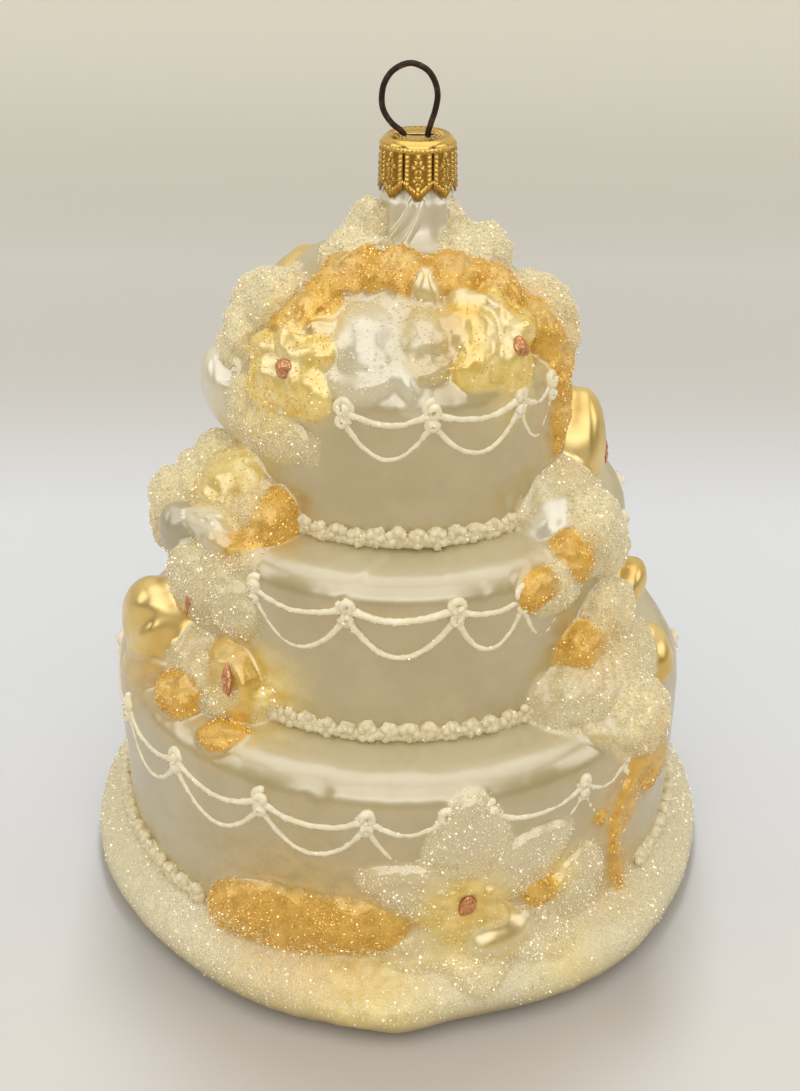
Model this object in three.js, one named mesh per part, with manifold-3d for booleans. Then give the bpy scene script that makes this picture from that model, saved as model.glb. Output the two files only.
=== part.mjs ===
// Blown-glass tree ornament in the form of a three-tier wedding cake on its round board,
// with a stamped crown cap on the neck and a wire loop to hang it by.
// Millimetres, +Z up. The origin is the middle of the flat underside, and -Y is the front.
import * as THREE from "three";
import { mergeVertices } from "three/addons/utils/BufferGeometryUtils.js";
import Module from "manifold-3d";

const wasm = await Module();
wasm.setup();

// Driving dimensions
const BOARD_RADIUS = 52.5;
const BOARD_FOOT_RADIUS = 46;
const BOARD_EDGE = [
  [-1.2, 1.2],
  [0, 3.6],
  [-0.8, 6.2],
];
const RIM_STRETCH = 0.6;
const RIM_WAVES = 6;
const RIM_WAVE_DEPTH = 0.8;
const RIM_WAVE_BEARING = -17;
const SEAM_POINT_DEPTH = 1.4;
const SEAM_POINT_WIDTH = 7;
const TURN_SIDES = 36;
const SHOULDER_STEPS = 2;
const TIER_FLARE = 0.5;
const HEAP_LIFT = 0.3;

const TIERS = [
  { wall: 45.4, base: 9.6, top: 39.9, shoulder: 6.8 },
  { wall: 34.6, base: 40.3, top: 66.0, shoulder: 4.8 },
  { wall: 24.7, base: 66.4, top: 90.4, shoulder: 4.4 },
];
const HEAP_RADIUS = 19.2;
const HEAP_TOP = 103.6;

const NECK_SIDES = 20;
const NECK_SHIFT = 2.1;
const NECK_RADIUS = 4.1;
const NECK_FOOT_RADIUS = 5.6;
const NECK_TOP = 116.6;
const MOUTH_RADIUS = 3.4;
const MOUTH_DEPTH = 7;

const CAP_TOP = 117.4;
const CAP_SHEET = 0.4;
const CAP_TOP_RADIUS = 4.9;
const CAP_SKIRT_RADIUS = 5.65;
const CAP_TIP_HEIGHT = 110;
const CAP_TABS = 8;
const CAP_SLIT_WIDTH = 0.35;
const CAP_SLIT_TOP = 115.3;
const CAP_POINT_LENGTH = 2.1;
const CAP_SIDES = 48;
const SLOT_LENGTH = 4.7;
const SLOT_WIDTH = 1.5;

const WIRE_RADIUS = 0.42;
const LOOP_HEIGHT = 10;
const LOOP_HALF_WIDTH = 3.9;
const LOOP_FOOT = 1.65;
const LOOP_TILT = -5;
const WIRE_SIDES = 8;
const WIRE_STEPS = 44;

const BEAD_RADIUS = 1.5;
const BEAD_PINCH = 0.5;
const ROPE_RADIUS = 0.62;
const SWAG_STEPS = 4;
const KNOB_RADIUS = 1.1;

const HALF_TURN = 180;
const WELD = 1e-3;
const rad = THREE.MathUtils.degToRad;

// Piped swags: bearings of the knobs along each run on the front half, knob height and drop
const SWAGS = [
  { tier: 0, height: 35.4, drop: 7.2, runs: [[-65.4, -45.6, -25, -5.4, 8.6], [16.7, 35.9, 47.5]] },
  { tier: 1, height: 62.0, drop: 7.2, runs: [[-35.3, -11.9, 13, 29.5]] },
  { tier: 2, height: 86.8, drop: 6.0, runs: [[-18.1, 10, 40.6, 59]] },
];

// Bead borders at the foot of each tier: beads in the whole ring and the bearings of the stretches that show
const BORDERS = [
  { tier: 0, beads: 60, spans: [[-82, -39]] },
  { tier: 1, beads: 48, spans: [[-31, 41]] },
  { tier: 2, beads: 38, spans: [[-32, 46]] },
];

// Moulded sprays of the front half. Each row gives form, bearing, radius, height, lean of the outward
// normal above the horizon, turn of its length from level, then length, width and depth.
const TOP_SPRAY = [
  ["blossom", -42, 23.0, 90.5, 25, 90, 16.0, 16.0, 6.4],
  ["blossom", 46, 22.6, 92.8, 32, 60, 15.5, 15.5, 6.4],
  ["petal", -14, 19.4, 95.4, 48, 262, 17.0, 11.5, 7.0],
  ["petal", 10, 19.4, 95.8, 50, 262, 13.5, 9.5, 7.0],
  ["bud", -44, 15.2, 98.4, 56, 20, 20.0, 9.5, 6.4],
  ["bud", -1, 12.0, 101.8, 66, 0, 16.0, 8.5, 5.6],
  ["bud", 54, 15.8, 98.4, 52, 155, 20.0, 9.5, 6.4],
  ["petal", 66, 23.2, 89.6, 15, 285, 14.0, 7.5, 5.6],
  ["petal", 60, 24.2, 81.0, 2, 275, 16.0, 7.0, 5.0],
  ["bud", -80, 21.6, 91.8, 34, 90, 18.0, 13.0, 8.0],
  ["bud", -80, 25.8, 81.4, 5, 90, 12.5, 10.0, 8.5],
  ["bud", -52, 24.4, 79.0, 0, 25, 17.0, 10.5, 5.8],
  ["bud", 80, 21.2, 93.8, 40, 90, 15.0, 13.0, 8.5],
  ["bud", 78, 11.4, 102.4, 62, 160, 16.0, 9.0, 6.0],
  ["bud", -52, 8.6, 102.6, 66, 20, 10.5, 8.0, 6.0],
];
const LEFT_SPRAY = [
  ["bud", -60, 26.6, 68.4, 42, 0, 25.0, 15.0, 13.0],
  ["bud", -80, 35.0, 61.6, 8, 90, 14.0, 11.0, 8.5],
  ["bud", -42, 28.6, 69.0, 38, 70, 12.0, 8.5, 7.0],
  ["petal", -52, 33.4, 65.8, 40, 10, 14.0, 8.0, 5.2],
  ["bud", -56, 36.4, 45.2, 38, 0, 29.0, 18.0, 12.0],
  ["bud", -70, 39.6, 45.6, 15, 75, 15.0, 12.0, 11.5],
  ["petal", -60, 43.0, 40.4, 30, 8, 22.0, 8.0, 6.0],
  ["petal", -41, 37.2, 47.0, 15, 265, 16.0, 9.0, 7.0],
  ["bud", -50, 35.2, 56.0, 8, 0, 19.0, 11.0, 6.6],
];
const RIGHT_SPRAY = [
  ["bud", 60, 27.0, 68.6, 42, 0, 24.0, 15.0, 12.5],
  ["bud", 80, 27.8, 72.4, 10, 85, 16.0, 9.0, 8.0],
  ["bud", 58, 33.2, 64.6, 26, 90, 15.5, 12.5, 8.0],
  ["bud", 38, 34.6, 62.2, 18, 10, 13.0, 8.0, 5.0],
  ["bud", 55, 37.0, 44.0, 40, 0, 26.0, 16.0, 12.0],
  ["bud", 57, 36.0, 51.6, 12, 0, 17.0, 11.5, 7.2],
  ["petal", 46, 36.4, 48.0, 10, 285, 13.0, 8.5, 6.2],
  ["bud", 55, 44.2, 39.4, 30, 0, 21.0, 12.0, 8.0],
  ["petal", 54, 46.2, 31.5, 0, 275, 16.0, 10.0, 5.0],
  ["petal", 47.5, 46.1, 19.0, 0, 280, 25.0, 5.5, 3.8],
];
const FRONT_SPRAY = [
  ["petal", 15.5, 46.4, 29.0, 2, 82, 17.5, 11.5, 4.8],
  ["petal", 25.0, 46.4, 24.5, 2, 38, 17.0, 9.5, 4.8],
  ["petal", 2.5, 46.6, 20.5, 4, 165, 15.0, 8.5, 4.8],
  ["petal", 5.0, 47.8, 12.5, 18, 215, 13.0, 9.0, 4.8],
  ["petal", 23.5, 48.0, 12.0, 20, 325, 15.0, 8.5, 4.8],
  ["blossom", 12.3, 47.2, 19.0, 8, 30, 15.5, 15.5, 7.5],
  ["petal", -18, 46.8, 14.2, 14, 176, 30.0, 10.5, 7.0],
  ["petal", 35.0, 46.4, 17.5, 3, 75, 12.0, 9.5, 4.6],
];
const FLOWER_PETALS = 5;
const FLOWER_COLUMNS = 15;
const FLOWER_LOBE = 0.16;
const FLOWER_DROOP = 0.4;
const PETAL_TAPER = 0.3;
const BACK_CLOSENESS = 0.66;
const BACK_TUCK = 1.5;
const BACK_TOP_SINK = 5.5;

// Geometry as a solid that can be joined and cut
function solidOf(geometry) {
  const bare = new THREE.BufferGeometry();
  bare.setAttribute("position", geometry.getAttribute("position").clone());
  if (geometry.index) bare.setIndex(geometry.index.clone());
  const merged = mergeVertices(bare, WELD);
  const triVerts = new Uint32Array(merged.index.array);
  return new wasm.Manifold(
    new wasm.Mesh({ numProp: 3, vertProperties: merged.attributes.position.array, triVerts }),
  );
}

// A joined or cut solid as geometry again
function geometryOf(solid) {
  const { numProp, vertProperties, triVerts } = solid.getMesh();
  const positions = new Float32Array((vertProperties.length / numProp) * 3);
  for (let i = 0; i * 3 < positions.length; i++)
    positions.set(vertProperties.subarray(i * numProp, i * numProp + 3), i * 3);
  const geometry = new THREE.BufferGeometry();
  geometry.setAttribute("position", new THREE.BufferAttribute(positions, 3));
  geometry.setIndex(new THREE.BufferAttribute(triVerts, 1));
  geometry.computeVertexNormals();
  return geometry;
}

// A profile of [radius, height] points turned about Z
function turned(points, sides) {
  const profile = points.map(([r, z]) => new THREE.Vector2(r, z));
  return new THREE.LatheGeometry(profile, sides).rotateX(Math.PI / 2);
}

// Point at a bearing from the front, radius and height
function pointAt(bearing, radius, height) {
  const a = rad(bearing);
  return new THREE.Vector3(radius * Math.sin(a), -radius * Math.cos(a), height);
}

// Frame with X along the form's length, Y across it and Z out of the surface
function frameAt(bearing, radius, height, lean, turn) {
  const a = rad(bearing);
  const tilt = rad(lean);
  const outward = new THREE.Vector3(Math.sin(a), -Math.cos(a), 0);
  const along = new THREE.Vector3(Math.cos(a), Math.sin(a), 0);
  const up = new THREE.Vector3(0, 0, 1);
  const normal = outward.clone().multiplyScalar(Math.cos(tilt)).addScaledVector(up, Math.sin(tilt));
  const rise = outward.clone().multiplyScalar(-Math.sin(tilt)).addScaledVector(up, Math.cos(tilt));
  const length = along.multiplyScalar(Math.cos(rad(turn))).addScaledVector(rise, Math.sin(rad(turn)));
  const width = normal.clone().cross(length);
  return new THREE.Matrix4()
    .makeBasis(length, width, normal)
    .setPosition(pointAt(bearing, radius, height));
}

// Points of the three tiers and the heap on top, from the board to the axis
function tierProfile(steps) {
  const points = [];
  for (const { wall, base, top, shoulder } of TIERS) {
    points.push([wall + TIER_FLARE, base]);
    for (let i = 0; i <= steps; i++) {
      const a = ((i / steps) * Math.PI) / 2;
      points.push([wall - shoulder + shoulder * Math.cos(a), top - shoulder + shoulder * Math.sin(a)]);
    }
  }
  const heapFoot = TIERS[2].top + HEAP_LIFT;
  for (let i = 0; i <= steps; i++) {
    const a = ((i / steps) * Math.PI) / 2;
    points.push([HEAP_RADIUS * Math.cos(a), heapFoot + (HEAP_TOP - heapFoot) * Math.sin(a)]);
  }
  return points;
}

// Radius of a tier's wall or shoulder at a height
function wallRadius({ wall, top, shoulder: r }, height) {
  const over = Math.max(0, height - (top - r));
  return wall - r + Math.sqrt(Math.max(0, r * r - over * over));
}

// Board, three tiers and the low heap under the top spray, turned in one piece with a wavy rim
function cakeBody() {
  const profile = [
    [0, 0],
    [BOARD_FOOT_RADIUS, 0],
    ...BOARD_EDGE.map(([out, z]) => [BOARD_RADIUS + out, z]),
    ...tierProfile(SHOULDER_STEPS),
  ];
  const geometry = turned(profile, TURN_SIDES);
  const position = geometry.getAttribute("position");
  const point = new THREE.Vector3();
  for (let i = 0; i < position.count; i++) {
    point.fromBufferAttribute(position, i);
    const radius = Math.hypot(point.x, point.y);
    const share = THREE.MathUtils.smoothstep(radius, TIERS[0].wall + 1, BOARD_RADIUS - 1);
    const scale = 1 + (share * rimWave(point.x, point.y)) / Math.max(radius, 1);
    position.setXYZ(i, point.x * scale, point.y * scale, point.z);
  }
  return solidOf(geometry);
}

// How far the board's rim stands out from its mean radius: a little longer from front to back, wavy
// there, with a point at each end of the mould seam
function rimWave(x, y) {
  const bearing = THREE.MathUtils.radToDeg(Math.atan2(x, -y));
  const fromSeam = Math.min(Math.abs(bearing), HALF_TURN - Math.abs(bearing)) / SEAM_POINT_WIDTH;
  const wave = RIM_WAVE_DEPTH * Math.cos(rad(RIM_WAVES * (bearing - RIM_WAVE_BEARING)));
  const frontness = Math.cos(rad(bearing)) ** 2;
  const stretch = RIM_STRETCH * (2 * frontness - 1);
  return stretch + wave * frontness + SEAM_POINT_DEPTH * Math.exp(-fromSeam * fromSeam);
}

// One row of a spray as a solid: a rounded bud, a petal that narrows to one end, or an open flower as
// one lobed cushion whose petals droop towards their tips
function sprayForm([form, bearing, radius, height, lean, turn, length, width, depth]) {
  const flower = form === "blossom";
  const geometry = flower
    ? new THREE.SphereGeometry(1, FLOWER_COLUMNS, 4).rotateX(Math.PI / 2)
    : new THREE.OctahedronGeometry(1, 1);
  const position = geometry.getAttribute("position");
  for (let i = 0; i < position.count; i++) {
    const [x, y, z] = [position.getX(i), position.getY(i), position.getZ(i)];
    const lobe = flower ? FLOWER_LOBE * Math.cos(FLOWER_PETALS * Math.atan2(y, x)) : 0;
    const narrow = form === "petal" ? 1 - PETAL_TAPER * x : 1;
    const droop = flower ? FLOWER_DROOP * (x * x + y * y) : 0;
    position.setXYZ(
      i,
      (x * (1 + lobe) * length) / 2,
      (y * (1 + lobe) * narrow * width) / 2,
      ((z - droop) * depth) / 2,
    );
  }
  return solidOf(geometry.applyMatrix4(frameAt(bearing, radius, height, lean, turn)));
}

// A closed string of sections along a path, each a list of points round it
function strung(sections) {
  const around = sections[0].length;
  const last = sections.length - 1;
  const corners = [];
  const face = (...points) => points.forEach((p) => corners.push(p.x, p.y, p.z));
  for (let i = 0; i < last; i++) {
    for (let k = 0; k < around; k++) {
      const next = (k + 1) % around;
      const [a, b] = [sections[i][k], sections[i][next]];
      const [c, d] = [sections[i + 1][next], sections[i + 1][k]];
      face(a, c, b);
      face(a, d, c);
    }
  }
  for (let k = 1; k + 1 < around; k++) {
    face(sections[0][0], sections[0][k], sections[0][k + 1]);
    face(sections[last][0], sections[last][k + 1], sections[last][k]);
  }
  const geometry = new THREE.BufferGeometry();
  return geometry.setAttribute("position", new THREE.Float32BufferAttribute(corners, 3));
}

// Rows of beads along the stretches of one tier's foot that show, swelling and pinching bead by bead
function borderBeads({ tier, beads, spans }) {
  const { wall, base } = TIERS[tier];
  const step = HALF_TURN / beads;
  return spans.map(([from, to]) => {
    const count = 2 * Math.round((to - from) / (2 * step));
    const sections = Array.from({ length: count + 1 }, (_, i) => {
      const bearing = from + ((to - from) * i) / count;
      const swell = i % 2 ? BEAD_RADIUS : BEAD_RADIUS * BEAD_PINCH;
      return [
        pointAt(bearing, wall - 0.6, base - 0.6),
        pointAt(bearing, wall + 0.8 + swell, base + 0.2 + swell / 2),
        pointAt(bearing, wall - 0.4, base + 1.6 + swell * 1.3),
      ];
    });
    return solidOf(strung(sections));
  });
}

// A ridge of piping on a tier's wall at a bearing and height
function ridge(tier, bearing, height, size) {
  const wall = wallRadius(tier, height);
  return [
    pointAt(bearing, wall - ROPE_RADIUS, height - size * 1.3),
    pointAt(bearing, wall + size, height),
    pointAt(bearing, wall - ROPE_RADIUS, height + size * 1.3),
  ];
}

// A run of piping that hangs by its drop between knobs and swells at each of them
function swagRun(tier, height, drop, knobs) {
  const sections = [];
  knobs.forEach((to, i) => {
    if (i > 0) {
      const from = knobs[i - 1];
      for (let k = 1; k < SWAG_STEPS; k++) {
        const u = k / SWAG_STEPS;
        sections.push(ridge(tier, from + (to - from) * u, height - drop * 4 * u * (1 - u), ROPE_RADIUS));
      }
    }
    sections.push(ridge(tier, to, height, KNOB_RADIUS));
  });
  return solidOf(strung(sections));
}

function swagPiping({ tier, height, drop, runs }) {
  return runs.map((knobs) => swagRun(TIERS[tier], height, drop, knobs));
}

// The neck that the glass was blown through, open at the top for the hanger's legs
function neck() {
  const outline = [
    [0, HEAP_TOP - 6],
    [NECK_FOOT_RADIUS + 2.4, HEAP_TOP - 6],
    [NECK_FOOT_RADIUS + 0.7, HEAP_TOP - 0.5],
    [NECK_FOOT_RADIUS, HEAP_TOP + 3],
    [4.85, CAP_TIP_HEIGHT - 0.6],
    [NECK_RADIUS, CAP_TIP_HEIGHT + 1.2],
    [NECK_RADIUS, NECK_TOP],
    [0, NECK_TOP],
  ];
  return solidOf(turned(outline, NECK_SIDES).translate(NECK_SHIFT, 0, 0));
}

function neckMouth() {
  const height = MOUTH_DEPTH + 1;
  const bore = new THREE.CylinderGeometry(MOUTH_RADIUS, MOUTH_RADIUS, height, NECK_SIDES);
  return solidOf(bore.rotateX(Math.PI / 2).translate(NECK_SHIFT, 0, NECK_TOP + 1 - height / 2));
}

// A row of a spray as it comes again on the back, closer together and lying lower
function backRow([form, bearing, radius, height, ...rest]) {
  const sink = height > TIERS[2].top - TIERS[2].shoulder ? BACK_TOP_SINK : 0;
  return [form, HALF_TURN + bearing * BACK_CLOSENESS, radius - BACK_TUCK, height - sink, ...rest];
}

function glassBody() {
  const sprays = [TOP_SPRAY, LEFT_SPRAY, RIGHT_SPRAY].flat();
  const wallForms = [
    ...FRONT_SPRAY.map(sprayForm),
    ...BORDERS.flatMap(borderBeads),
    ...SWAGS.flatMap(swagPiping),
  ];
  const front = wasm.Manifold.union(wallForms);
  const back = front.rotate([0, 0, HALF_TURN]);
  const heaps = [...sprays, ...sprays.map(backRow)].map(sprayForm);
  const joined = wasm.Manifold.union([cakeBody(), front, back, ...heaps, neck()]).subtract(neckMouth());
  return geometryOf(largestBody(solidOf(geometryOf(joined))));
}

// The one large body of a joined solid, with sealed hollows filled and loose scraps dropped
function largestBody(solid) {
  return solid.decompose().reduce((a, b) => (b.volume() > a.volume() ? b : a));
}

// Crown cap: a thin stamped cup with a slot for the wire, slit into tabs that end in points
function crownCap() {
  const outer = [
    [0, CAP_TOP],
    [CAP_TOP_RADIUS - 0.7, CAP_TOP],
    [CAP_TOP_RADIUS, CAP_TOP - 0.7],
    [CAP_TOP_RADIUS + 0.15, CAP_SLIT_TOP],
    [CAP_SKIRT_RADIUS, CAP_TIP_HEIGHT],
  ];
  const inner = outer.map(([r, z], i) => {
    const wall = i < 2 ? 0 : CAP_SHEET;
    return [Math.max(0, r - wall), i < 3 ? z - CAP_SHEET : z];
  });
  let cap = solidOf(turned([...inner, ...outer.reverse()], CAP_SIDES));
  const slot = new THREE.BoxGeometry(SLOT_LENGTH, SLOT_WIDTH, 4).translate(0, 0, CAP_TOP);
  const cuts = [solidOf(slot)];
  const tabWidth = (2 * Math.PI * CAP_SKIRT_RADIUS) / CAP_TABS;
  for (let i = 0; i < CAP_TABS; i++) {
    const slitHeight = CAP_SLIT_TOP - CAP_TIP_HEIGHT + 1;
    const slit = new THREE.BoxGeometry(CAP_SLIT_WIDTH, 4, slitHeight);
    slit.translate(0, -CAP_SKIRT_RADIUS, CAP_SLIT_TOP - slitHeight / 2);
    const notch = new THREE.ExtrudeGeometry(
      new THREE.Shape([
        new THREE.Vector2(-tabWidth / 2, 0),
        new THREE.Vector2(tabWidth / 2, 0),
        new THREE.Vector2(0, CAP_POINT_LENGTH),
      ]),
      { depth: 4, bevelEnabled: false },
    );
    notch.rotateX(Math.PI / 2).translate(0, -CAP_SKIRT_RADIUS + 2, CAP_TIP_HEIGHT - 0.05);
    const bearing = rad((360 / CAP_TABS) * (i + 0.5));
    cuts.push(solidOf(slit.rotateZ(bearing)), solidOf(notch.rotateZ(bearing)));
  }
  cap = cap.subtract(wasm.Manifold.union(cuts));
  return geometryOf(cap).translate(NECK_SHIFT, 0, 0);
}

// Hanger: spring wire whose legs pass the cap's slot and splay inside the neck
function hangerLoop() {
  const half = [
    [LOOP_FOOT + 0.95, -5.2],
    [LOOP_FOOT + 0.45, -2.6],
    [LOOP_FOOT, -0.2],
    [LOOP_FOOT + 0.35, 1.1],
    [LOOP_HALF_WIDTH - 0.75, 3.1],
    [LOOP_HALF_WIDTH, 5.7],
    [LOOP_HALF_WIDTH - 0.75, 8.2],
    [LOOP_HALF_WIDTH - 2.3, LOOP_HEIGHT - 0.4],
  ];
  const left = half.map(([x, z]) => [-x, z]);
  const points = [...left, [0, LOOP_HEIGHT - WIRE_RADIUS + 0.4], ...half.reverse()];
  const tilt = rad(LOOP_TILT);
  const path = points.map(([x, z]) => {
    const share = Math.max(0, z) / LOOP_HEIGHT;
    return new THREE.Vector3(x + share * LOOP_HEIGHT * Math.tan(tilt), 0, z);
  });
  const section = new THREE.Shape().absarc(0, 0, WIRE_RADIUS, 0, 2 * Math.PI);
  return new THREE.ExtrudeGeometry(section, {
    extrudePath: new THREE.CatmullRomCurve3(path),
    steps: WIRE_STEPS,
    curveSegments: WIRE_SIDES / 2,
    bevelEnabled: false,
  });
}

function piece(name, geometry, color, roughness, metalness) {
  const material = new THREE.MeshStandardMaterial({ color, roughness, metalness });
  const mesh = new THREE.Mesh(geometry, material);
  mesh.name = name;
  return mesh;
}

const ornament = new THREE.Group();
ornament.add(piece("glass_body", glassBody(), 0xe6dcc2, 0.35, 0.3));
ornament.add(piece("crown_cap", crownCap(), 0xc99a3c, 0.3, 1));
const hanger = piece("hanger_loop", hangerLoop(), 0x2c1d14, 0.45, 0.8);
hanger.position.set(NECK_SHIFT, 0, CAP_TOP);
ornament.add(hanger);

export default ornament;
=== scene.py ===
"""Looks of a blown-glass tree ornament in the form of a three-tier wedding cake.

Sizes here are millimetres and degrees. Meshes are written in metres in the part's own frame: +Z up,
the front towards -Y. A bearing is the angle round the axis from the front, positive to the right.
"""
import itertools
import math

import bpy
import numpy as np
from mathutils import Matrix


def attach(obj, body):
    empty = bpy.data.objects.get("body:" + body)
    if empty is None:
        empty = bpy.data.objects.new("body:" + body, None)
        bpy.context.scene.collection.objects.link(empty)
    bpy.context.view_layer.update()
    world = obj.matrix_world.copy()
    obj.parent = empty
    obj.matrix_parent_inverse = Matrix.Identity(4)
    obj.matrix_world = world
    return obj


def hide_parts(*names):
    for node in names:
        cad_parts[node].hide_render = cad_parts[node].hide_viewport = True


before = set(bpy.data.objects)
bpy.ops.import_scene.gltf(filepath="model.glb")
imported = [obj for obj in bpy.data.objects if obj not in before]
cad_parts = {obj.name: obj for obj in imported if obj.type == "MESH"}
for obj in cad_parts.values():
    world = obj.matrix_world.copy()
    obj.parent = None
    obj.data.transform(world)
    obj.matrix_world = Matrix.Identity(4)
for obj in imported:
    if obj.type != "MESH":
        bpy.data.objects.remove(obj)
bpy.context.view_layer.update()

MM = 0.001
UP = np.array([0, 0, 1.0])

# Turned glass body
BOARD_RADIUS = 52.5
BOARD_FOOT_RADIUS = 46.0
BOARD_EDGE = [(-3.4, 0.35), (-1.2, 1.4), (-0.1, 3.4), (-0.9, 5.6), (-3.0, 7.4)]
TIERS = [
    {"wall": 45.4, "base": 9.4, "top": 39.9, "shoulder": 6.8, "bend": 0.78},
    {"wall": 34.6, "base": 40.3, "top": 66.0, "shoulder": 4.8, "bend": 0.92},
    {"wall": 24.7, "base": 66.4, "top": 90.4, "shoulder": 4.4, "bend": 1.0},
]
TIER_FLARE = 0.5
HEAP_RADIUS = 19.2
HEAP_FOOT = 90.7
HEAP_TOP = 103.6
NECK_SHIFT = 2.1
NECK_OUTLINE = [
    (7.4, 102.8), (6.4, 103.6), (5.85, 104.7), (5.55, 106.0), (5.35, 107.4), (5.15, 108.8), (4.9, 110.2),
    (4.5, 111.4), (4.2, 112.4), (4.1, 113.4), (4.1, 116.6), (3.4, 116.6), (3.4, 110.0), (0.0, 110.0),
]
CORNER_ROUNDING = 0.5
RIM_STRETCH = 0.6
RIM_WAVES = 6
RIM_WAVE_DEPTH = 0.8
RIM_WAVE_BEARING = -17.0
SEAM_POINT_DEPTH = 1.4
SEAM_POINT_WIDTH = 7.0
SEAM_OFFSET = 0.8

# Neck: how far the heap stops short of it, count of its outline's points from the rim on, and the bearings at
# which its drips start and end
NECK_FILLET = 2.0
MOUTH_POINTS = 4
NECK_DRIPS = [(-8, -42), (7, -17)]

# Skin: columns round the axis, spacing of its rows outside, under the board and in the neck's mouth, fineness
# of the outline and its arcs, and how deep the points lie that close its pieces
SKIN_COLUMNS = 640
SKIN_STEP = 0.43
UNDERSIDE_STEP = 5.0
MOUTH_STEP = 1.2
OUTLINE_STEP = 0.05
ARC_STEPS = 24
HUB_DEPTH = 20.0

# How forms stand out of the skin: rise in degrees of the aim lines at given heights, lowest and highest rows
# that a form lifts, how far from it and how squarely they face it, how it runs out and joins its neighbours,
# how its lacquer drifts, and how much pearly gloss the shelves between forms take, which adds coat and also
# lightens their colour as painted sheen on the glass that faces up
AIM_HEIGHTS = [0, 5, 9, 88, 98, 104]
AIM_RISES = [0, 15, 35, 36, 58, 75]
FORM_FLOOR = 1.0
FORM_CEILING = 109.5
FORM_MARGIN = 9.0
FORM_FACING = 0.3
FORM_SKIRT = 0.26
PAD_SKIRT = 0.5
FORM_BLEND = 0.9
DRIFT_STRENGTH = 0.55
DRIFT_REACH = 0.6
SHELF_GLOSS_AND_PAINTED_SHEEN = 0.42

# Heights over which paint and relief come in, low to high, or go out, high to low, and over which drips fall
RELIEF_IN = (0.3, 2.0)
PLATE_IN = (2.6, 5.6)
PLATE_OUT = (14, 11)
SEAM_IN = (8, 12)
SEAM_OUT = (98, 90)
SHELF_IN = (30, 34)
SHELF_OUT = (96, 92)
MIST_OUT = (104, 101)
NECK_IN = (104.0, 106.5)
DRIP_FALL = (110.5, 102.5)
DRIP_IN = (102, 103.5)
DRIP_OUT = (111, 109.5)

# Moulded forms of the front half. A row gives shape, finish, bearing, radius, height, lean of the outward
# normal above the level, turn of its length from level, then length, width and depth.
TOP_SPRAY = [
    ("bud", "frost", -80, 20.6, 91.0, 34, 90, 18.0, 13.0, 8.0),
    ("bud", "frost", 80, 20.8, 92.6, 40, 90, 15.0, 13.0, 8.0),
    ("bud", "frost", -84, 20.8, 95.0, 45, 0, 10.0, 9.0, 6.5),
    ("bud", "frost", -78, 23.4, 89.8, 25, 0, 11.0, 9.0, 7.0),
    ("bud", "frost", -66, 19.4, 96.6, 46, 20, 11.0, 9.0, 5.6),
    ("bud", "glossy", -80, 25.8, 81.4, 5, 90, 12.5, 9.5, 8.5),
    ("bud", "frost", -60, 24.3, 81.0, 5, 60, 12.0, 11.0, 5.5),
    ("bud", "dust", -46, 24.2, 79.6, 2, 6, 15.0, 9.0, 4.6),
    ("bud", "frost", 79, 20.8, 95.0, 45, 0, 10.5, 9.0, 7.0),
    ("bud", "frost", 82, 22.2, 90.0, 20, 0, 10.0, 9.0, 6.0),
    ("bud", "frost", 78, 11.4, 102.4, 62, 160, 15.0, 8.5, 6.0),
    ("bud", "frost", 84, 7.2, 106.0, 35, 90, 8.0, 6.0, 4.4),
    ("bud", "frost", -52, 8.6, 102.6, 66, 20, 10.5, 8.0, 6.0),
    ("bud", "frost", -66, 6.4, 106.0, 35, 70, 8.0, 5.6, 3.8),
    ("petal", "gold", -102, 16.4, 97.4, 50, 0, 12.0, 6.5, 4.5),
    ("ruffle", "garland", -42, 19.5, 96.8, 50, 45, 11.0, 6.2, 4.4),
    ("ruffle", "garland", -34, 13.8, 101.3, 62, 60, 11.5, 7.4, 4.8),
    ("ruffle", "garland", -2, 12.2, 102.2, 66, 3, 12.0, 7.8, 4.8),
    ("ruffle", "garland", 30, 13.2, 101.6, 66, 345, 12.0, 7.8, 4.8),
    ("ruffle", "garland", 50, 16.2, 99.6, 60, 300, 11.0, 7.4, 4.8),
    ("ruffle", "garland", 60, 20.8, 94.8, 45, 285, 11.5, 7.0, 4.8),
    ("ruffle", "garland", 66, 23.8, 88.0, 15, 265, 12.5, 7.5, 5.0),
    ("ruffle", "garland", 63.5, 24.2, 80.6, 3, 268, 15.0, 6.8, 5.0),
    ("blossom", "gild", -41.0, 23.4, 90.6, 25, 100, 14.0, 17.0, 5.2),
    ("blossom", "gild", 36.5, 21.2, 94.2, 34, 70, 15.2, 14.6, 5.4),
    ("pad", "veil", -15.0, 20.0, 95.4, 46, 285, 13.6, 12.4, 5.0),
    ("pad", "veil", 1.5, 22.9, 90.4, 34, 296, 8.0, 4.6, 3.6),
    ("pad", "peach", 8.6, 19.8, 95.8, 48, 262, 10.6, 8.8, 4.4),
    ("pad", "blush", 21.6, 19.4, 96.0, 48, 273, 9.0, 6.4, 4.4),
    ("pad", "gleam", 11.9, 15.0, 101.8, 56, 290, 4.6, 3.2, 3.6),
    ("pad", "gleam", 34.5, 19.2, 98.8, 46, 324, 7.6, 4.0, 3.8),
    ("pad", "gleam", -32.9, 21.3, 96.0, 40, 33, 5.2, 3.0, 3.4),
]
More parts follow.
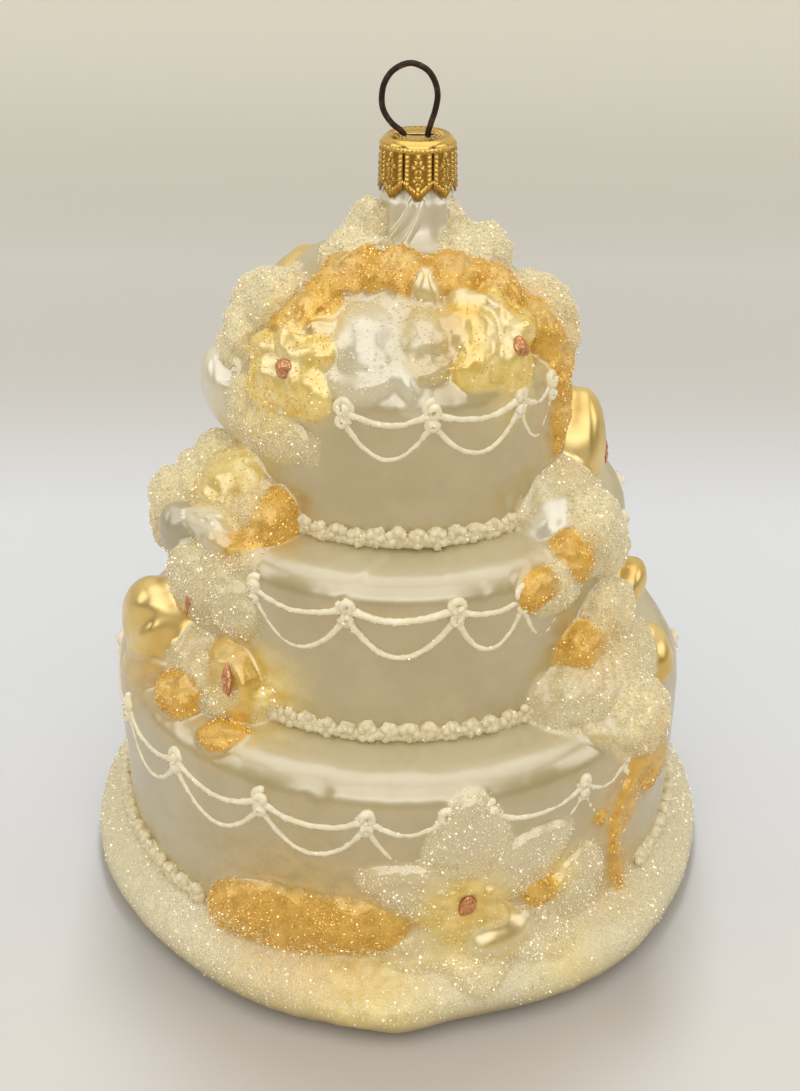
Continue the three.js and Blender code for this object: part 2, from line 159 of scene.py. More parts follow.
LEFT_SPRAY = [
    ("bud", "frost", -62, 26.0, 67.8, 42, 0, 23.0, 14.0, 12.0),
    ("bud", "frost", -80, 32.0, 66.0, 25, 0, 12.0, 11.0, 7.0),
    ("bud", "frost", -80, 35.0, 61.6, 8, 90, 14.0, 11.0, 8.5),
    ("bud", "frost", -82, 28.6, 70.0, 40, 30, 13.0, 9.0, 7.0),
    ("bud", "olive", -60, 27.6, 70.2, 40, 50, 14.0, 12.0, 9.0),
    ("bud", "orange", -40.5, 28.2, 68.2, 36, 90, 10.5, 6.8, 6.6),
    ("petal", "spray", -44, 32.4, 65.4, 45, 215, 7.6, 5.0, 4.2),
    ("leaf", "glossy", -56, 33.3, 66.6, 38, 12, 12.0, 4.8, 4.6),
    ("bud", "silver", -65, 35.7, 63.2, 12, 92, 9.0, 6.0, 6.6),
    ("bud", "pearl", -49, 33.8, 65.4, 30, 21, 6.0, 4.2, 5.0),
    ("bud", "dust", -50, 33.4, 61.2, 25, 20, 19.0, 9.0, 6.0),
    ("bud", "dust", -58, 35.4, 57.0, 10, 0, 13.0, 11.0, 7.0),
    ("bud", "dust", -42.3, 34.4, 57.0, 8, 96, 11.0, 10.0, 7.0),
    ("bud", "dust", -52, 35.4, 44.4, 38, 0, 24.0, 14.0, 9.0),
    ("bulb", "gold", -69, 39.2, 46.2, 14, 68, 18.0, 14.0, 12.2),
    ("bud", "blush", -67, 42.4, 40.4, 22, 40, 13.0, 8.0, 6.5),
    ("leaf", "orange", -51.5, 40.6, 41.8, 45, 28, 12.0, 8.4, 5.2),
    ("cup", "shell", -40.2, 36.4, 45.8, 25, 300, 12.8, 8.6, 7.0),
    ("leaf", "orange", -37.1, 41.4, 39.5, 72, 30, 8.6, 6.2, 3.2),
]
RIGHT_SPRAY = [
    ("bud", "dust", 62, 26.6, 68.0, 42, 0, 18.0, 14.0, 9.0),
    ("bulb", "gold", 80, 27.2, 73.0, 10, 85, 17.5, 10.4, 8.6),
    ("bud", "pearl", 66, 27.0, 69.0, 35, 345, 12.0, 5.4, 6.0),
    ("bud", "glossy", 50.5, 29.9, 68.4, 42, 20, 9.0, 7.0, 4.4),
    ("bud", "frost", 56, 33.0, 66.4, 32, 40, 12.0, 11.5, 8.6),
    ("bud", "frost", 63, 34.6, 61.0, 10, 0, 10.0, 9.0, 6.0),
    ("bud", "spray", 45.5, 34.6, 65.2, 36, 75, 8.0, 6.0, 4.4),
    ("bud", "frost", 39.5, 34.7, 61.4, 12, 0, 10.0, 7.4, 4.2),
    ("bud", "orange", 33.9, 34.7, 62.4, 25, 10, 7.2, 5.4, 4.6),
    ("bud", "gold", 73, 36.6, 52.4, 14, 20, 8.5, 7.5, 6.5),
    ("bud", "dust", 55, 36.8, 43.8, 40, 0, 26.0, 16.0, 11.5),
    ("bud", "frost", 57, 36.4, 51.8, 12, 0, 12.5, 12.0, 7.5),
    ("cup", "orange", 48.6, 36.6, 48.2, 14, 282, 12.4, 10.0, 6.6),
    ("bulb", "gold", 70, 42.0, 42.4, 30, 70, 9.5, 7.0, 6.0),
    ("bud", "frost", 53, 44.6, 39.2, 30, 0, 13.5, 11.5, 8.0),
    ("bud", "cream", 51, 40.4, 41.4, 48, 345, 13.0, 8.4, 6.0),
    ("leaf", "glossy", 53, 46.6, 40.0, 25, 40, 6.0, 5.0, 3.6),
    ("bud", "cream", 45.5, 41.2, 40.2, 52, 30, 10.0, 8.4, 5.4),
    ("bud", "amber", 54, 46.0, 31.4, 2, 300, 15.0, 9.0, 5.0),
    ("leaf", "garland", 47.0, 46.0, 25.4, 0, 250, 17.0, 5.0, 3.0),
    ("bud", "garland", 46.3, 46.2, 14.4, 0, 284, 14.5, 3.0, 2.6),
    ("bud", "orange", 40.3, 45.9, 26.4, 0, 333, 3.0, 2.4, 2.4),
]
FRONT_SPRAY = [
    ("petal", "lily", 12.8, 46.0, 30.2, 2, 88, 15.4, 11.0, 3.2),
    ("petal", "lily", 24.2, 46.0, 24.4, 2, 35, 15.4, 10.0, 3.2),
    ("petal", "lily", 1.6, 46.0, 22.2, 4, 162, 13.0, 9.0, 3.2),
    ("petal", "lily", 5.6, 47.0, 11.6, 18, 205, 12.5, 8.4, 3.2),
    ("petal", "lily", 25.5, 47.8, 10.8, 20, 327, 14.8, 8.4, 3.2),
    ("petal", "lily", 14.0, 49.0, 9.2, 40, 265, 9.4, 9.4, 3.2),
    ("blossom", "haze", 12.3, 46.6, 18.8, 8, 28, 16.0, 16.4, 3.8),
    ("bud", "gleam", 18.0, 48.0, 13.2, 30, 12, 10.4, 7.0, 3.8),
    ("bud", "spray", -17.5, 45.7, 14.8, 14, 8, 29.0, 11.8, 5.0),
    ("petal", "lily", 35.5, 46.2, 17.0, 3, 75, 12.8, 10.5, 3.4),
    ("leaf", "orange", 27.0, 46.4, 17.8, 4, 160, 8.3, 4.8, 2.8),
    ("leaf", "pearl", 2.1, 40.2, 39.6, 72, 20, 3.4, 2.0, 0.9),
]
BACK_CLOSENESS = 0.66
BACK_TUCK = 1.5
BACK_TOP_SINK = 5.5

# Finishes of the forms: how softly each fades at the form's edge, then the share of each mask at its rim
# and, where it differs, at its heart
FINISHES = {
    "gold": (0.3, {"gold": 1.0}, None),
    "gleam": (0.8, {"gold": 0.35, "yellow": 0.5, "gloss": 0.6}, {"gold": 0.6, "gloss": 1.0}),
    "gild": (1.0, {"yellow": 0.95, "spark": 0.4, "frost": 0.1}, {"yellow": 0.6, "gloss": 0.9, "spark": 0.2}),
    "olive": (
        1.0,
        {"yellow": 0.6, "orange": 0.1, "frost": 0.3, "spark": 0.3},
        {"yellow": 0.65, "orange": 0.2, "spark": 0.1},
    ),
    "haze": (
        1.2,
        {"yellow": 0.7, "orange": 0.25, "glitter": 0.3, "spark": 0.2},
        {"yellow": 0.75, "orange": 0.45, "glitter": 0.1},
    ),
    "garland": (0.8, {"orange": 1.0, "spark": 0.9}, {"orange": 0.75, "spark": 0.4, "gloss": 0.3}),
    "orange": (0.8, {"orange": 1.0, "spark": 1.0}, {"orange": 0.8, "spark": 0.2}),
    "spray": (1.9, {"orange": 0.85, "spark": 0.7}, {"orange": 0.95, "spark": 1.0}),
    "blush": (1.2, {"orange": 0.55, "yellow": 0.2}, {"orange": 0.35, "yellow": 0.2, "gloss": 0.5}),
    "frost": (0.6, {"frost": 1.0}, None),
    "dust": (0.9, {"frost": 0.55, "glitter": 0.7}, None),
    "cream": (
        0.9,
        {"frost": 0.5, "yellow": 0.3, "orange": 0.1},
        {"frost": 0.4, "yellow": 0.15, "gloss": 0.4},
    ),
    "glossy": (0.5, {"gloss": 1.0, "silver": 0.2}, None),
    "pearl": (0.5, {"gloss": 0.5}, None),
    "silver": (0.5, {"silver": 0.9, "gloss": 0.5}, None),
    "lily": (0.6, {"glitter": 1.0, "frost": 0.3, "gloss": 0.2}, {"glitter": 0.8, "frost": 0.1, "gloss": 0.3}),
    "veil": (1.2, {"gloss": 0.7, "frost": 0.35, "glitter": 0.15}, {"gloss": 0.85, "frost": 0.2}),
    "peach": (
        0.8,
        {"orange": 0.2, "yellow": 0.25, "frost": 0.3, "spark": 0.15},
        {"orange": 0.14, "yellow": 0.2, "frost": 0.25, "gloss": 0.4},
    ),
    "shell": (0.8, {"orange": 0.7, "yellow": 0.5}, {"yellow": 0.45, "orange": 0.2, "frost": 0.2}),
    "amber": (1.0, {"orange": 0.95, "spark": 0.3}, {"orange": 0.8, "yellow": 0.3, "spark": 0.1}),
}
MASKS = ("gold", "orange", "yellow", "frost", "gloss", "silver", "glitter", "spark", "plate")
COVERING_MASKS = ("gold", "orange", "frost", "gloss", "silver")
DRIFTING_MASKS = ("yellow", "orange")

# Sprayed lacquer that drifts past the forms: mask, bearing, radius, height, spread and strength
PAINT_MIST = [
    ("yellow", -46, 25.0, 84.0, 7.0, 0.6),
    ("yellow", -32, 25.0, 88.0, 6.0, 0.5),
    ("yellow", 38, 24.8, 87.5, 6.0, 0.5),
    ("yellow", -33, 35.4, 46.0, 7.0, 0.8),
    ("yellow", 12, 47.6, 15.5, 9.0, 0.7),
    ("orange", -30, 47.5, 12.0, 6.0, 0.5),
    ("orange", -19, 46.2, 19.0, 7.5, 0.35),
    ("yellow", 30, 46.4, 20.0, 6.0, 0.6),
    ("yellow", -4, 51.5, 6.6, 13.0, 0.5),
    ("yellow", 30, 50.5, 7.6, 8.0, 0.4),
    ("yellow", -34, 20.5, 96.0, 5.0, 0.7),
]

# Dabs of copper glitter: bearing, radius, height, lean, turn, length and width. Then rows and columns of
# each, and how far from its place the skin may lie
COPPER_DABS = [
    (-38.3, 26.9, 91.9, 25, 0, 2.9, 2.8),
    (41.3, 25.6, 94.7, 32, 0, 2.6, 2.9),
    (12.2, 49.2, 20.1, 8, 70, 3.5, 2.5),
    (-38.4, 38.7, 47.4, 25, 290, 5.0, 1.7),
    (84, 31.4, 72.0, 8, 85, 5.5, 1.5),
    (-53, 38.6, 55.6, 15, 95, 3.6, 0.9),
]
DAB_ROWS = 8
DAB_COLUMNS = 26
DAB_REACH = 6.0

# Piping: swags of two ropes between knobs, each knob of two curls with a lift and a size, then rows of beads
# on a bed of rope
SWAGS = [
    {
        "tier": 0, "height": 34.0, "sags": (2.4, 6.0),
        "runs": [(-65.4, -45.6, -25, -5.4, 8.6), (16.7, 35.9, 47.5), (91, 114.6)],
    },
    {"tier": 1, "height": 61.4, "sags": (1.6, 6.0), "runs": [(-35.3, -11.9, 13, 29.5, 41.5), (76, 97, 118)]},
    {"tier": 2, "height": 86.3, "sags": (1.5, 5.2), "runs": [(-18.1, 10, 40.6, 57), (84, 112, 140)]},
]
SWAG_STEPS = 64
ROPE_RADII = (0.5, 0.41)
ROPE_DROPS = (-0.5, 0.9)
ROPE_SIDES = 10
ROPE_TIP = 0.35
ROPE_LUMP = 0.2
ROPE_GRAIN = 0.6
KNOB_CURLS = [(0.9, 1.0), (-1.1, 0.75)]
KNOB_REACH = 1.15
KNOB_ROPE = 0.62
KNOB_TURNS = 1.35
KNOB_STEPS = 30
BORDERS = [
    {"tier": 0, "pitch": 3.0, "spans": [(-83, -39), (56, 97)]},
    {"tier": 1, "pitch": 2.9, "spans": [(-31, 41), (76, 118)]},
    {"tier": 2, "pitch": 2.7, "spans": [(-32, 48), (76, 124)]},
]
BED_RADIUS = 1.0
BED_SIDES = 8
BED_STEPS = 90
BEAD_LUMPS = 7
LUMP_ROWS = 5
LUMP_COLUMNS = 8
LUMP_GRAIN = 0.2

# Glitter: grains for each square millimetre of a full mask, or in all on the piping, the range of their
# sizes, how far they stand out and stretch, the size of their patches, and the most in one piece
FROST_GRAINS = 8.0
FROST_GRAIN_SIZES = (0.1, 0.26)
DUST_GRAINS = 7.0
DUST_GRAIN_SIZES = (0.07, 0.25)
GOLD_GRAINS = 13.0
GOLD_GRAIN_SIZES = (0.08, 0.2)
ROPE_GRAINS = 12000
BEAD_GRAINS = 16000
PIPING_GRAIN_SIZES = (0.07, 0.18)
GRAIN_SEAT = 0.3
GRAIN_STRETCH = (0.55, 1.15)
GRAIN_PATCH = 4.0
GRAINS_A_PIECE = 45000

SEEDS = {
    "ropes": 11, "knobs": 17, "beads": 5, "bed": 34, "lumps": 31, "grains": 41, "patches": 42, "dabs": 61,
}

# Crown cap and hanger. A ring of bosses has a radius, a start, a pitch, a boss size and a height share, the
# band's beads a height above the slits, a radius, a pitch and a size, and a tab's stars a place and a size
CAP_TOP = 118.0
CAP_SHEET = 0.35
CAP_TOP_RADIUS = 5.1
CAP_SKIRT_RADIUS = 5.4
CAP_TIP_HEIGHT = 110.0
CAP_TABS = 8
CAP_SLIT_WIDTH = 0.2
CAP_SLIT_TOP = 116.5
CAP_BEVEL = 0.8
CAP_POINT_LENGTH = 1.6
CAP_COLUMNS = 27
CAP_TAB_HALF = 180 / CAP_TABS - math.degrees(CAP_SLIT_WIDTH / CAP_SKIRT_RADIUS) / 2
CAP_TOP_ROWS = 24
CAP_CORNER_ROWS = 9
CAP_BAND_ROWS = 12
CAP_TAB_ROWS = 44
CAP_DISH = 0.12
CAP_FLARE = 0.12
CAP_RIB_RADIUS = 3.95
CAP_BOSS_RINGS = [(3.3, 0.0, 0.65, 0.27, 1.0), (2.65, 0.3, 0.6, 0.2, 0.8)]
CAP_BAND_BEADS = (0.3, 5.0, 0.62, 0.25)
TAB_STARS = [(2.0, 0.62), (3.8, 0.5)]
TAB_BOSSES = (0.5, 4.95)
TAB_EDGE = 0.42
SLOT_LENGTH = 4.7
SLOT_WIDTH = 1.5
WIRE_RADIUS = 0.42
WIRE_SIDES = 16
WIRE_STEPS = 220
LOOP_SEAT = 117.4
LOOP_PATH = [
    (-2.3, -5.2), (-2.0, -2.4), (-1.75, -0.4), (-2.2, 0.75), (-3.72, 2.0), (-4.82, 3.7),
    (-5.06, 5.5), (-4.65, 7.45), (-3.4, 9.1), (-1.26, 9.97), (0.8, 9.3), (2.0, 7.9),
    (2.56, 5.95), (2.3, 3.9), (1.68, 1.9), (1.3, 0.2), (1.7, -2.4), (2.2, -5.2),
]

# Camera and stage
IMAGE_HEIGHT = 1091
FOCAL_PIXELS = 1443.4
SENSOR = 36.0
CAMERA_PLACE = (0.07, -201.6, 166.2)
CAMERA_PITCH = 29.39
CAMERA_ROLL = 0.51
GROUND_FRONT = -900.0
GROUND_BACK = 190.0
GROUND_BEND = 70.0
GROUND_HALF_WIDTH = 1200.0
GROUND_COLUMNS = 9
WALL_HEIGHT = 900.0
ROOM_COLOUR = (0.96, 0.935, 0.89, 1.0)
ROOM_STRENGTH = 0.12

# Lamps: name, place, aim, size and watts
LAMPS = [
    ("overhead", (0, 0, 740), (0, 0, 60), (1100, 640), 3.12),
    ("front", (0, -560, 500), (0, 0, 50), (900, 640), 2.62),
    ("low_front", (0, -700, 300), (0, 0, 45), (1000, 100), 0.45),
    ("left_side", (-640, -120, 380), (0, 0, 50), (420, 420), 0.97),
    ("right_side", (640, -120, 380), (0, 0, 50), (420, 420), 0.97),
]
LAMP_COLOUR = (1.0, 0.985, 0.955)

# Floor lamp, with the way to it, the power by which its light fades round the bend of the ground, and the
# factors that tone the ground down where it shines
FLOOR_LAMP_PLACE = (0.0, 500.0, 980.0)
FLOOR_LAMP_SIZE = (300.0, 300.0)
FLOOR_LAMP_WATTS = 8.3
FLOOR_LAMP_COLOUR = (0.783, 0.87, 1.0)
FLOOR_LAMP_WAY = tuple(c / math.hypot(*FLOOR_LAMP_PLACE) for c in FLOOR_LAMP_PLACE)
FLOOR_LAMP_FADE = 0.75
FLOOR_TONE = (0.635, 0.59, 0.53)


# Arrays

def eased(low, high, x):
    """Smooth step: 0 below low, 1 above high, and 3t² - 2t³ between."""
    t = np.clip((x - low) / (high - low), 0, 1)
    return t * t * (3 - 2 * t)


def soft_top(a, b, blend):
    """The larger of a and b with the crease between rounded: max(a, b) + (blend - |a - b|)² / 4 blend."""
    overlap = np.clip(blend - np.abs(a - b), 0, None)
    return np.maximum(a, b) + overlap**2 / (4 * blend)


def bell(x, width):
    """Bell curve: the exponential of -(x / width)²."""
    return np.exp(-((x / width) ** 2))


def arched(rho):
    """Half a round: the root of 1 - rho², and nought past the edge."""
    return np.sqrt(np.clip(1 - rho**2, 0, 1))


def unit(vectors):
    """Vectors brought to length 1."""
    return vectors / np.linalg.norm(vectors, axis=-1, keepdims=True)


def full_turn(steps):
    """Angles of a full turn in equal steps, in radians."""
    return np.linspace(0, 2 * np.pi, steps, endpoint=False)


def rough(points, size, seed):
    """Smooth random field from -1 to 1: seeded values at the corners of a cubic lattice of that size,
    mixed between the eight corners of each cell with the weights 6t⁵ - 15t⁴ + 10t³."""
    side = 32
    table = np.random.default_rng(seed).uniform(-1, 1, (side, side, side))
    place = np.asarray(points) / size
    low = np.floor(place).astype(int)
    share = place - low
    share = share**3 * (share * (6 * share - 15) + 10)
    value = 0.0
    for corner in itertools.product((0, 1), repeat=3):
        weight = np.prod(np.where(corner, share, 1 - share), axis=-1)
        i, j, k = np.moveaxis((low + corner) % side, -1, 0)
        value = value + weight * table[i, j, k]
    return value


def outward(bearing):
    """Level unit vectors pointing away from the axis at a bearing: (sin, -cos, 0)."""
    a = np.radians(bearing)
    return np.stack([np.sin(a), -np.cos(a), np.zeros_like(a)], -1)


def spot(bearing, radius, height):
    """Points at a bearing, radius and height, broadcast together."""
    bearing, radius, height = np.broadcast_arrays(*(np.asarray(x, float) for x in (bearing, radius, height)))
    return outward(bearing) * radius[..., None] + height[..., None] * UP


def spline(points, steps):
    """Smooth path through points: on each stretch the cubic whose slopes at its two ends are half the
    step from the point before to the point after."""
    p = np.asarray(points, float)
    padded = np.vstack([2 * p[0] - p[1], p, 2 * p[-1] - p[-2]])
    t = np.linspace(0, len(p) - 1, steps)
    i = np.minimum(t.astype(int), len(p) - 2)
    t = (t - i)[:, None]
    a, b, c, d = (padded[i + k] for k in range(4))
    return 0.5 * (2 * b + (c - a) * t + (2 * a - 5 * b + 4 * c - d) * t**2 + (3 * b - a - 3 * c + d) * t**3)


# Meshes

def grid_faces(rows, columns, closed=True):
    """Corner numbers of the quads of a grid, row by row, whose columns run round when closed."""
    i, j = np.meshgrid(np.arange(rows - 1), np.arange(columns if closed else columns - 1), indexing="ij")
    right = (j + 1) % columns
    corners = [i * columns + j, i * columns + right, (i + 1) * columns + right, (i + 1) * columns + j]
    return np.stack(corners, -1).reshape(-1, 4)


def capped(points, ends=None):
    """A round grid of rows by columns, with each open end closed by a fan to a given point or to the middle
    of its last row. Gives the points and the quads and triangles."""
    rows, columns = points.shape[:2]
    ends = np.stack([points[0].mean(0), points[-1].mean(0)]) if ends is None else ends
    j = np.arange(columns)
    right = (j + 1) % columns
    top = (rows - 1) * columns
    low_fan = np.stack([np.full(columns, rows * columns), right, j], -1)
    high_fan = np.stack([np.full(columns, rows * columns + 1), top + j, top + right], -1)
    faces = [grid_faces(rows, columns), low_fan, high_fan]
    return np.concatenate([points.reshape(-1, 3), ends]), faces


def joined(parts):
    """Several (points, faces) as one."""
    points, faces, start = [], [], 0
    for part_points, part_faces in parts:
        points.append(part_points)
        faces += [f + start for f in part_faces]
        start += len(part_points)
    return np.concatenate(points), faces


def make_piece(name, points, faces, finish, masks=None, normals=None, flat=False):
    """A mesh object from points in millimetres and blocks of faces of equal corner count. It rides on the
    one body, wears a finish and may carry one number a point for each mask."""
    mesh = bpy.data.meshes.new(name)
    sizes = np.concatenate([np.full(len(f), f.shape[1]) for f in faces])
    mesh.vertices.add(len(points))
    mesh.vertices.foreach_set("co", (points * MM).astype(np.float32).ravel())
    mesh.loops.add(int(sizes.sum()))
    mesh.loops.foreach_set("vertex_index", np.concatenate([f.ravel() for f in faces]).astype(np.int32))
    mesh.polygons.add(len(sizes))
    mesh.polygons.foreach_set("loop_start", (np.cumsum(sizes) - sizes).astype(np.int32))
    mesh.update(calc_edges=True)
    mesh.polygons.foreach_set("use_smooth", np.full(len(sizes), not flat))
    for mask, values in (masks or {}).items():
        attribute = mesh.attributes.new(mask, "FLOAT", "POINT")
        attribute.data.foreach_set("value", values.astype(np.float32))
    if normals is not None:
        mesh.normals_split_custom_set_from_vertices(normals)
    mesh.materials.append(finish)
    piece = bpy.data.objects.new(name, mesh)
    bpy.context.scene.collection.objects.link(piece)
    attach(piece, "root")
    return piece


def rings(along, side, sides):
    """Unit circles square to each step of a path, from the path's direction and a direction at its side."""
    lift = np.cross(side, along)
    a = full_turn(sides)[:, None]
    return np.cos(a) * side[:, None] + np.sin(a) * lift[:, None]


def tube(path, radius, sides, seed):
    """A round section carried along a path on a wall, square to the path, narrowed and shut at both ends. A
    fine random field swells and pinches its radius."""
    along = unit(np.gradient(path, axis=0))
    ring = rings(along, unit(np.cross(along, path * [1, 1, 0])), sides)
    girth = np.broadcast_to(radius, len(path)).copy()
    girth[[0, -1]] *= ROPE_TIP
    points = path[:, None] + ring * girth[:, None, None]
    lump = ROPE_LUMP * rough(points, ROPE_GRAIN, seed)
    return capped(points + ring * (girth[:, None] * lump)[..., None])


def lumps(centres, sizes, seed):
    """Sugared lumps: a round grid for each, as wide, deep and high as its size along the wall, out of it
    and up, roughened by random fields. Rows run from pole to pole."""
    polar = np.pi * (np.arange(LUMP_ROWS) + 0.5) / LUMP_ROWS
    polar, a = np.meshgrid(polar, full_turn(LUMP_COLUMNS), indexing="ij")
    ball = np.stack([np.sin(polar) * np.cos(a), np.sin(polar) * np.sin(a), -np.cos(polar)], -1)
    out = unit(centres * [1, 1, 0])
    axes = np.stack([np.cross(UP, out), -out, np.broadcast_to(UP, out.shape)], 1) * sizes[:, :, None]
    arms = np.einsum("rci,nij->nrcj", ball, axes)
    points = centres[:, None, None] + arms
    grain = LUMP_GRAIN * (rough(points, 0.9, seed) + 0.6 * rough(points, 0.45, seed + 1))
    return joined([capped(p) for p in points + arms * grain[..., None]])


# Glass body

def quarter_round(radius, height, out, up, bend=1.0):
    """Quarter of an ellipse from straight out to straight up about (radius, height). A bend below 1 draws it
    towards the corner, by that power of the sine and cosine."""
    a = np.linspace(0, np.pi / 2, ARC_STEPS)
    return list(zip(radius + out * np.clip(np.cos(a), 0, 1) ** bend, height + up * np.sin(a) ** bend))


def outline():
    """Radius and height along the turned outline, from the middle of the underside up to the neck and
    down into its mouth. Walls are straight and shoulders round; a running mean with a bell-shaped weight
    rounds the corners. Rows lie a skin step apart, wider under the board and in the mouth."""
    points = [(0, 0), (BOARD_FOOT_RADIUS, 0)]
    points += [(BOARD_RADIUS + out, z) for out, z in BOARD_EDGE]
    for tier in TIERS:
        points.append((tier["wall"] + TIER_FLARE, tier["base"]))
        shoulder = tier["shoulder"]
        centre = tier["wall"] - shoulder, tier["top"] - shoulder
        points += quarter_round(*centre, shoulder, shoulder, tier["bend"])
    heap = quarter_round(0, HEAP_FOOT, HEAP_RADIUS, HEAP_TOP - HEAP_FOOT)
    points += [p for p in heap if p[0] > NECK_OUTLINE[0][0] + NECK_FILLET] + NECK_OUTLINE
    line = np.array(points, float)
    length = np.concatenate([[0], np.cumsum(np.hypot(*np.diff(line, axis=0).T))])
    along = np.arange(0, length[-1], OUTLINE_STEP)
    line = np.stack([np.interp(along, length, line[:, k]) for k in (0, 1)], -1)
    reach = int(3 * CORNER_ROUNDING / OUTLINE_STEP)
    weight = np.exp(-0.5 * (np.arange(-reach, reach + 1) * OUTLINE_STEP / CORNER_ROUNDING) ** 2)
    padded = np.pad(line, ((reach, reach), (0, 0)), mode="edge")
    line = np.stack([np.convolve(padded[:, k], weight / weight.sum(), "valid") for k in (0, 1)], -1)
    foot, mouth = BOARD_FOOT_RADIUS - 1, length[-MOUTH_POINTS]
    steps = [UNDERSIDE_STEP, UNDERSIDE_STEP, SKIN_STEP, SKIN_STEP, MOUTH_STEP]
    spacing = np.interp(along, [0, foot - 5, foot, mouth, mouth + 1], steps)
    count = np.cumsum(OUTLINE_STEP / spacing)
    rows = np.interp(np.arange(1, int(count[-1])), count, along)
    return np.stack([np.interp(rows, along, line[:, k]) for k in (0, 1)], -1)


def rim_wave(bearing):
    """How far the board's rim stands out: stretched from front to back by a cosine of twice the bearing,
    wavy there, and drawn out to a point at each end of the mould seam by a bell curve."""
    from_seam = np.minimum(np.abs(bearing), 180 - np.abs(bearing))
    frontness = np.cos(np.radians(bearing)) ** 2
    wave = RIM_WAVE_DEPTH * np.cos(np.radians(RIM_WAVES * (bearing - RIM_WAVE_BEARING)))
    point = SEAM_POINT_DEPTH * bell(from_seam, SEAM_POINT_WIDTH)
    return RIM_STRETCH * (2 * frontness - 1) + wave * frontness + point


def bud(u, v):
    """A plain oval dome, a half ellipsoid."""
    rho = np.hypot(u, v)
    return rho, arched(rho)


def pad(u, v):
    """A low oval swelling that runs out without an edge, a smooth step of the distance from its middle."""
    rho = np.hypot(u, v)
    return rho, eased(1.0, 0.1, rho)


def petal(u, v):
    """An oval that narrows to its far end, with a soft crease along its middle and a low lip."""
    rho = np.hypot(u, v / np.clip(1 - 0.3 * u, 0.4, None))
    crease = bell(v, 0.2) * eased(1.0, 0.2, np.abs(u))
    return rho, arched(rho) * (1 - 0.18 * crease) + 0.07 * bell(rho - 0.8, 0.14)


def leaf(u, v):
    """Pointed at both ends, its width falling as 1 - u², with a midrib groove, slanting veins and a lip."""
    rho = np.hypot(u**2, v / np.clip(1 - u**2, 0.06, None))
    veins = 0.06 * np.cos(14 * (u - 0.7 * np.abs(v))) * eased(0.95, 0.5, rho)
    return rho, arched(rho) * (1 - 0.22 * bell(v, 0.15)) + veins + 0.12 * bell(rho - 0.85, 0.12)


def ruffle(u, v):
    """A crumpled ribbon: an oval whose edge and crown wave along its length."""
    rho = np.hypot(u, v / (0.88 + 0.12 * np.sin(8 * u + 1)))
    return rho, arched(rho) * (1 + 0.2 * np.sin(6 * u + 2.4 * v) + 0.1 * np.sin(11 * u - 4 * v))


def cup(u, v):
    """A flower seen from its side: an oval bulb with a rolled lip round a hollow towards its far end."""
    rho = np.hypot(u, v / np.clip(1 - 0.18 * u, 0.5, None))
    hollow = bell(u - 0.35, 0.3) * bell(v, 0.4)
    lip = bell(np.hypot((u - 0.3) / 0.62, v / 0.72) - 1, 0.22)
    return rho, arched(rho) * (1 - 0.32 * hollow) + 0.14 * lip * eased(1.0, 0.8, rho)


def bulb(u, v):
    """A closed bud: a smooth oval dome that narrows to its far end, with one soft fold off its middle."""
    rho = np.hypot(u, v / np.clip(1 - 0.2 * u, 0.5, None))
    fold = bell(v + 0.4 + 0.25 * u, 0.15) * eased(-0.9, 0.1, u)
    return rho, arched(rho) * (1 - 0.2 * fold)


def blossom(u, v):
    """An open flower of five round petals: the rim and crown follow the square of cos 2.5 a to its lobes,
    uneven by half a sine of a, with soft creases between them and a low boss in the hollow middle."""
    a, r = np.arctan2(v, u), np.hypot(u, v)
    lobe = np.cos(2.5 * a + 0.5 * np.sin(a)) ** 2
    rho = r / (0.8 + 0.2 * lobe)
    crown = np.sin(np.pi * np.clip(rho, 0, 1) ** 0.8) * (0.72 + 0.28 * lobe)
    return rho, np.maximum(0.55 * arched(rho) + 0.45 * crown, 0.72 * eased(0.34, 0.16, r))


SHAPES = {shape.__name__: shape for shape in (bud, pad, petal, leaf, ruffle, cup, bulb, blossom)}


def form_frame(bearing, radius, height, lean, turn):
    """Middle of a form and its axes: along its length, across it and out of the surface."""
    out = outward(float(bearing))
    tilt, swing = math.radians(lean), math.radians(turn)
    normal = out * math.cos(tilt) + UP * math.sin(tilt)
    rise = UP * math.cos(tilt) - out * math.sin(tilt)
    length = np.cross(UP, out) * math.cos(swing) + rise * math.sin(swing)
    return spot(bearing, radius, height), length, np.cross(normal, length), normal


def back_sink(height):
    """How much lower what stands at a height on the front sits when it comes again on the back."""
    return BACK_TOP_SINK if height > TIERS[2]["top"] - TIERS[2]["shoulder"] else 0


def all_forms():
    """Every moulded form. The wall spray comes again half a turn round, and the side and top sprays come
    again on the back, closer together and closer in, and lower at the top."""
    back_wall = [(s, f, bearing + 180, *rest) for s, f, bearing, *rest in FRONT_SPRAY]
    rows = TOP_SPRAY + LEFT_SPRAY + RIGHT_SPRAY
    back = [
        (s, f, 180 + bearing * BACK_CLOSENESS, radius - BACK_TUCK, height - back_sink(height), *rest)
        for s, f, bearing, radius, height, *rest in rows
    ]
    return rows + FRONT_SPRAY + back_wall + back


def stand_out(points, aim, form):
    """How far a form stands out from the skin along the aim lines, and how far from its middle to its edge
    each line meets it. A line meets the form's middle plane at its flat distance; there the shape's dome
    is added, and outside the edge it falls back to the skin."""
    shape, _, bearing, radius, height, lean, turn, length, width, depth = form
    centre, along, across, normal = form_frame(bearing, radius, height, lean, turn)
    reach = aim @ normal
    flat = ((centre - points) @ normal) / reach
    place = points + flat[:, None] * aim - centre
    rho, dome = SHAPES[shape](place @ along * 2 / length, place @ across * 2 / width)
    skirt = PAD_SKIRT if shape == "pad" else FORM_SKIRT
    return (flat + dome * depth / 2 / reach) * (1 - eased(1, 1 + skirt, rho)), rho


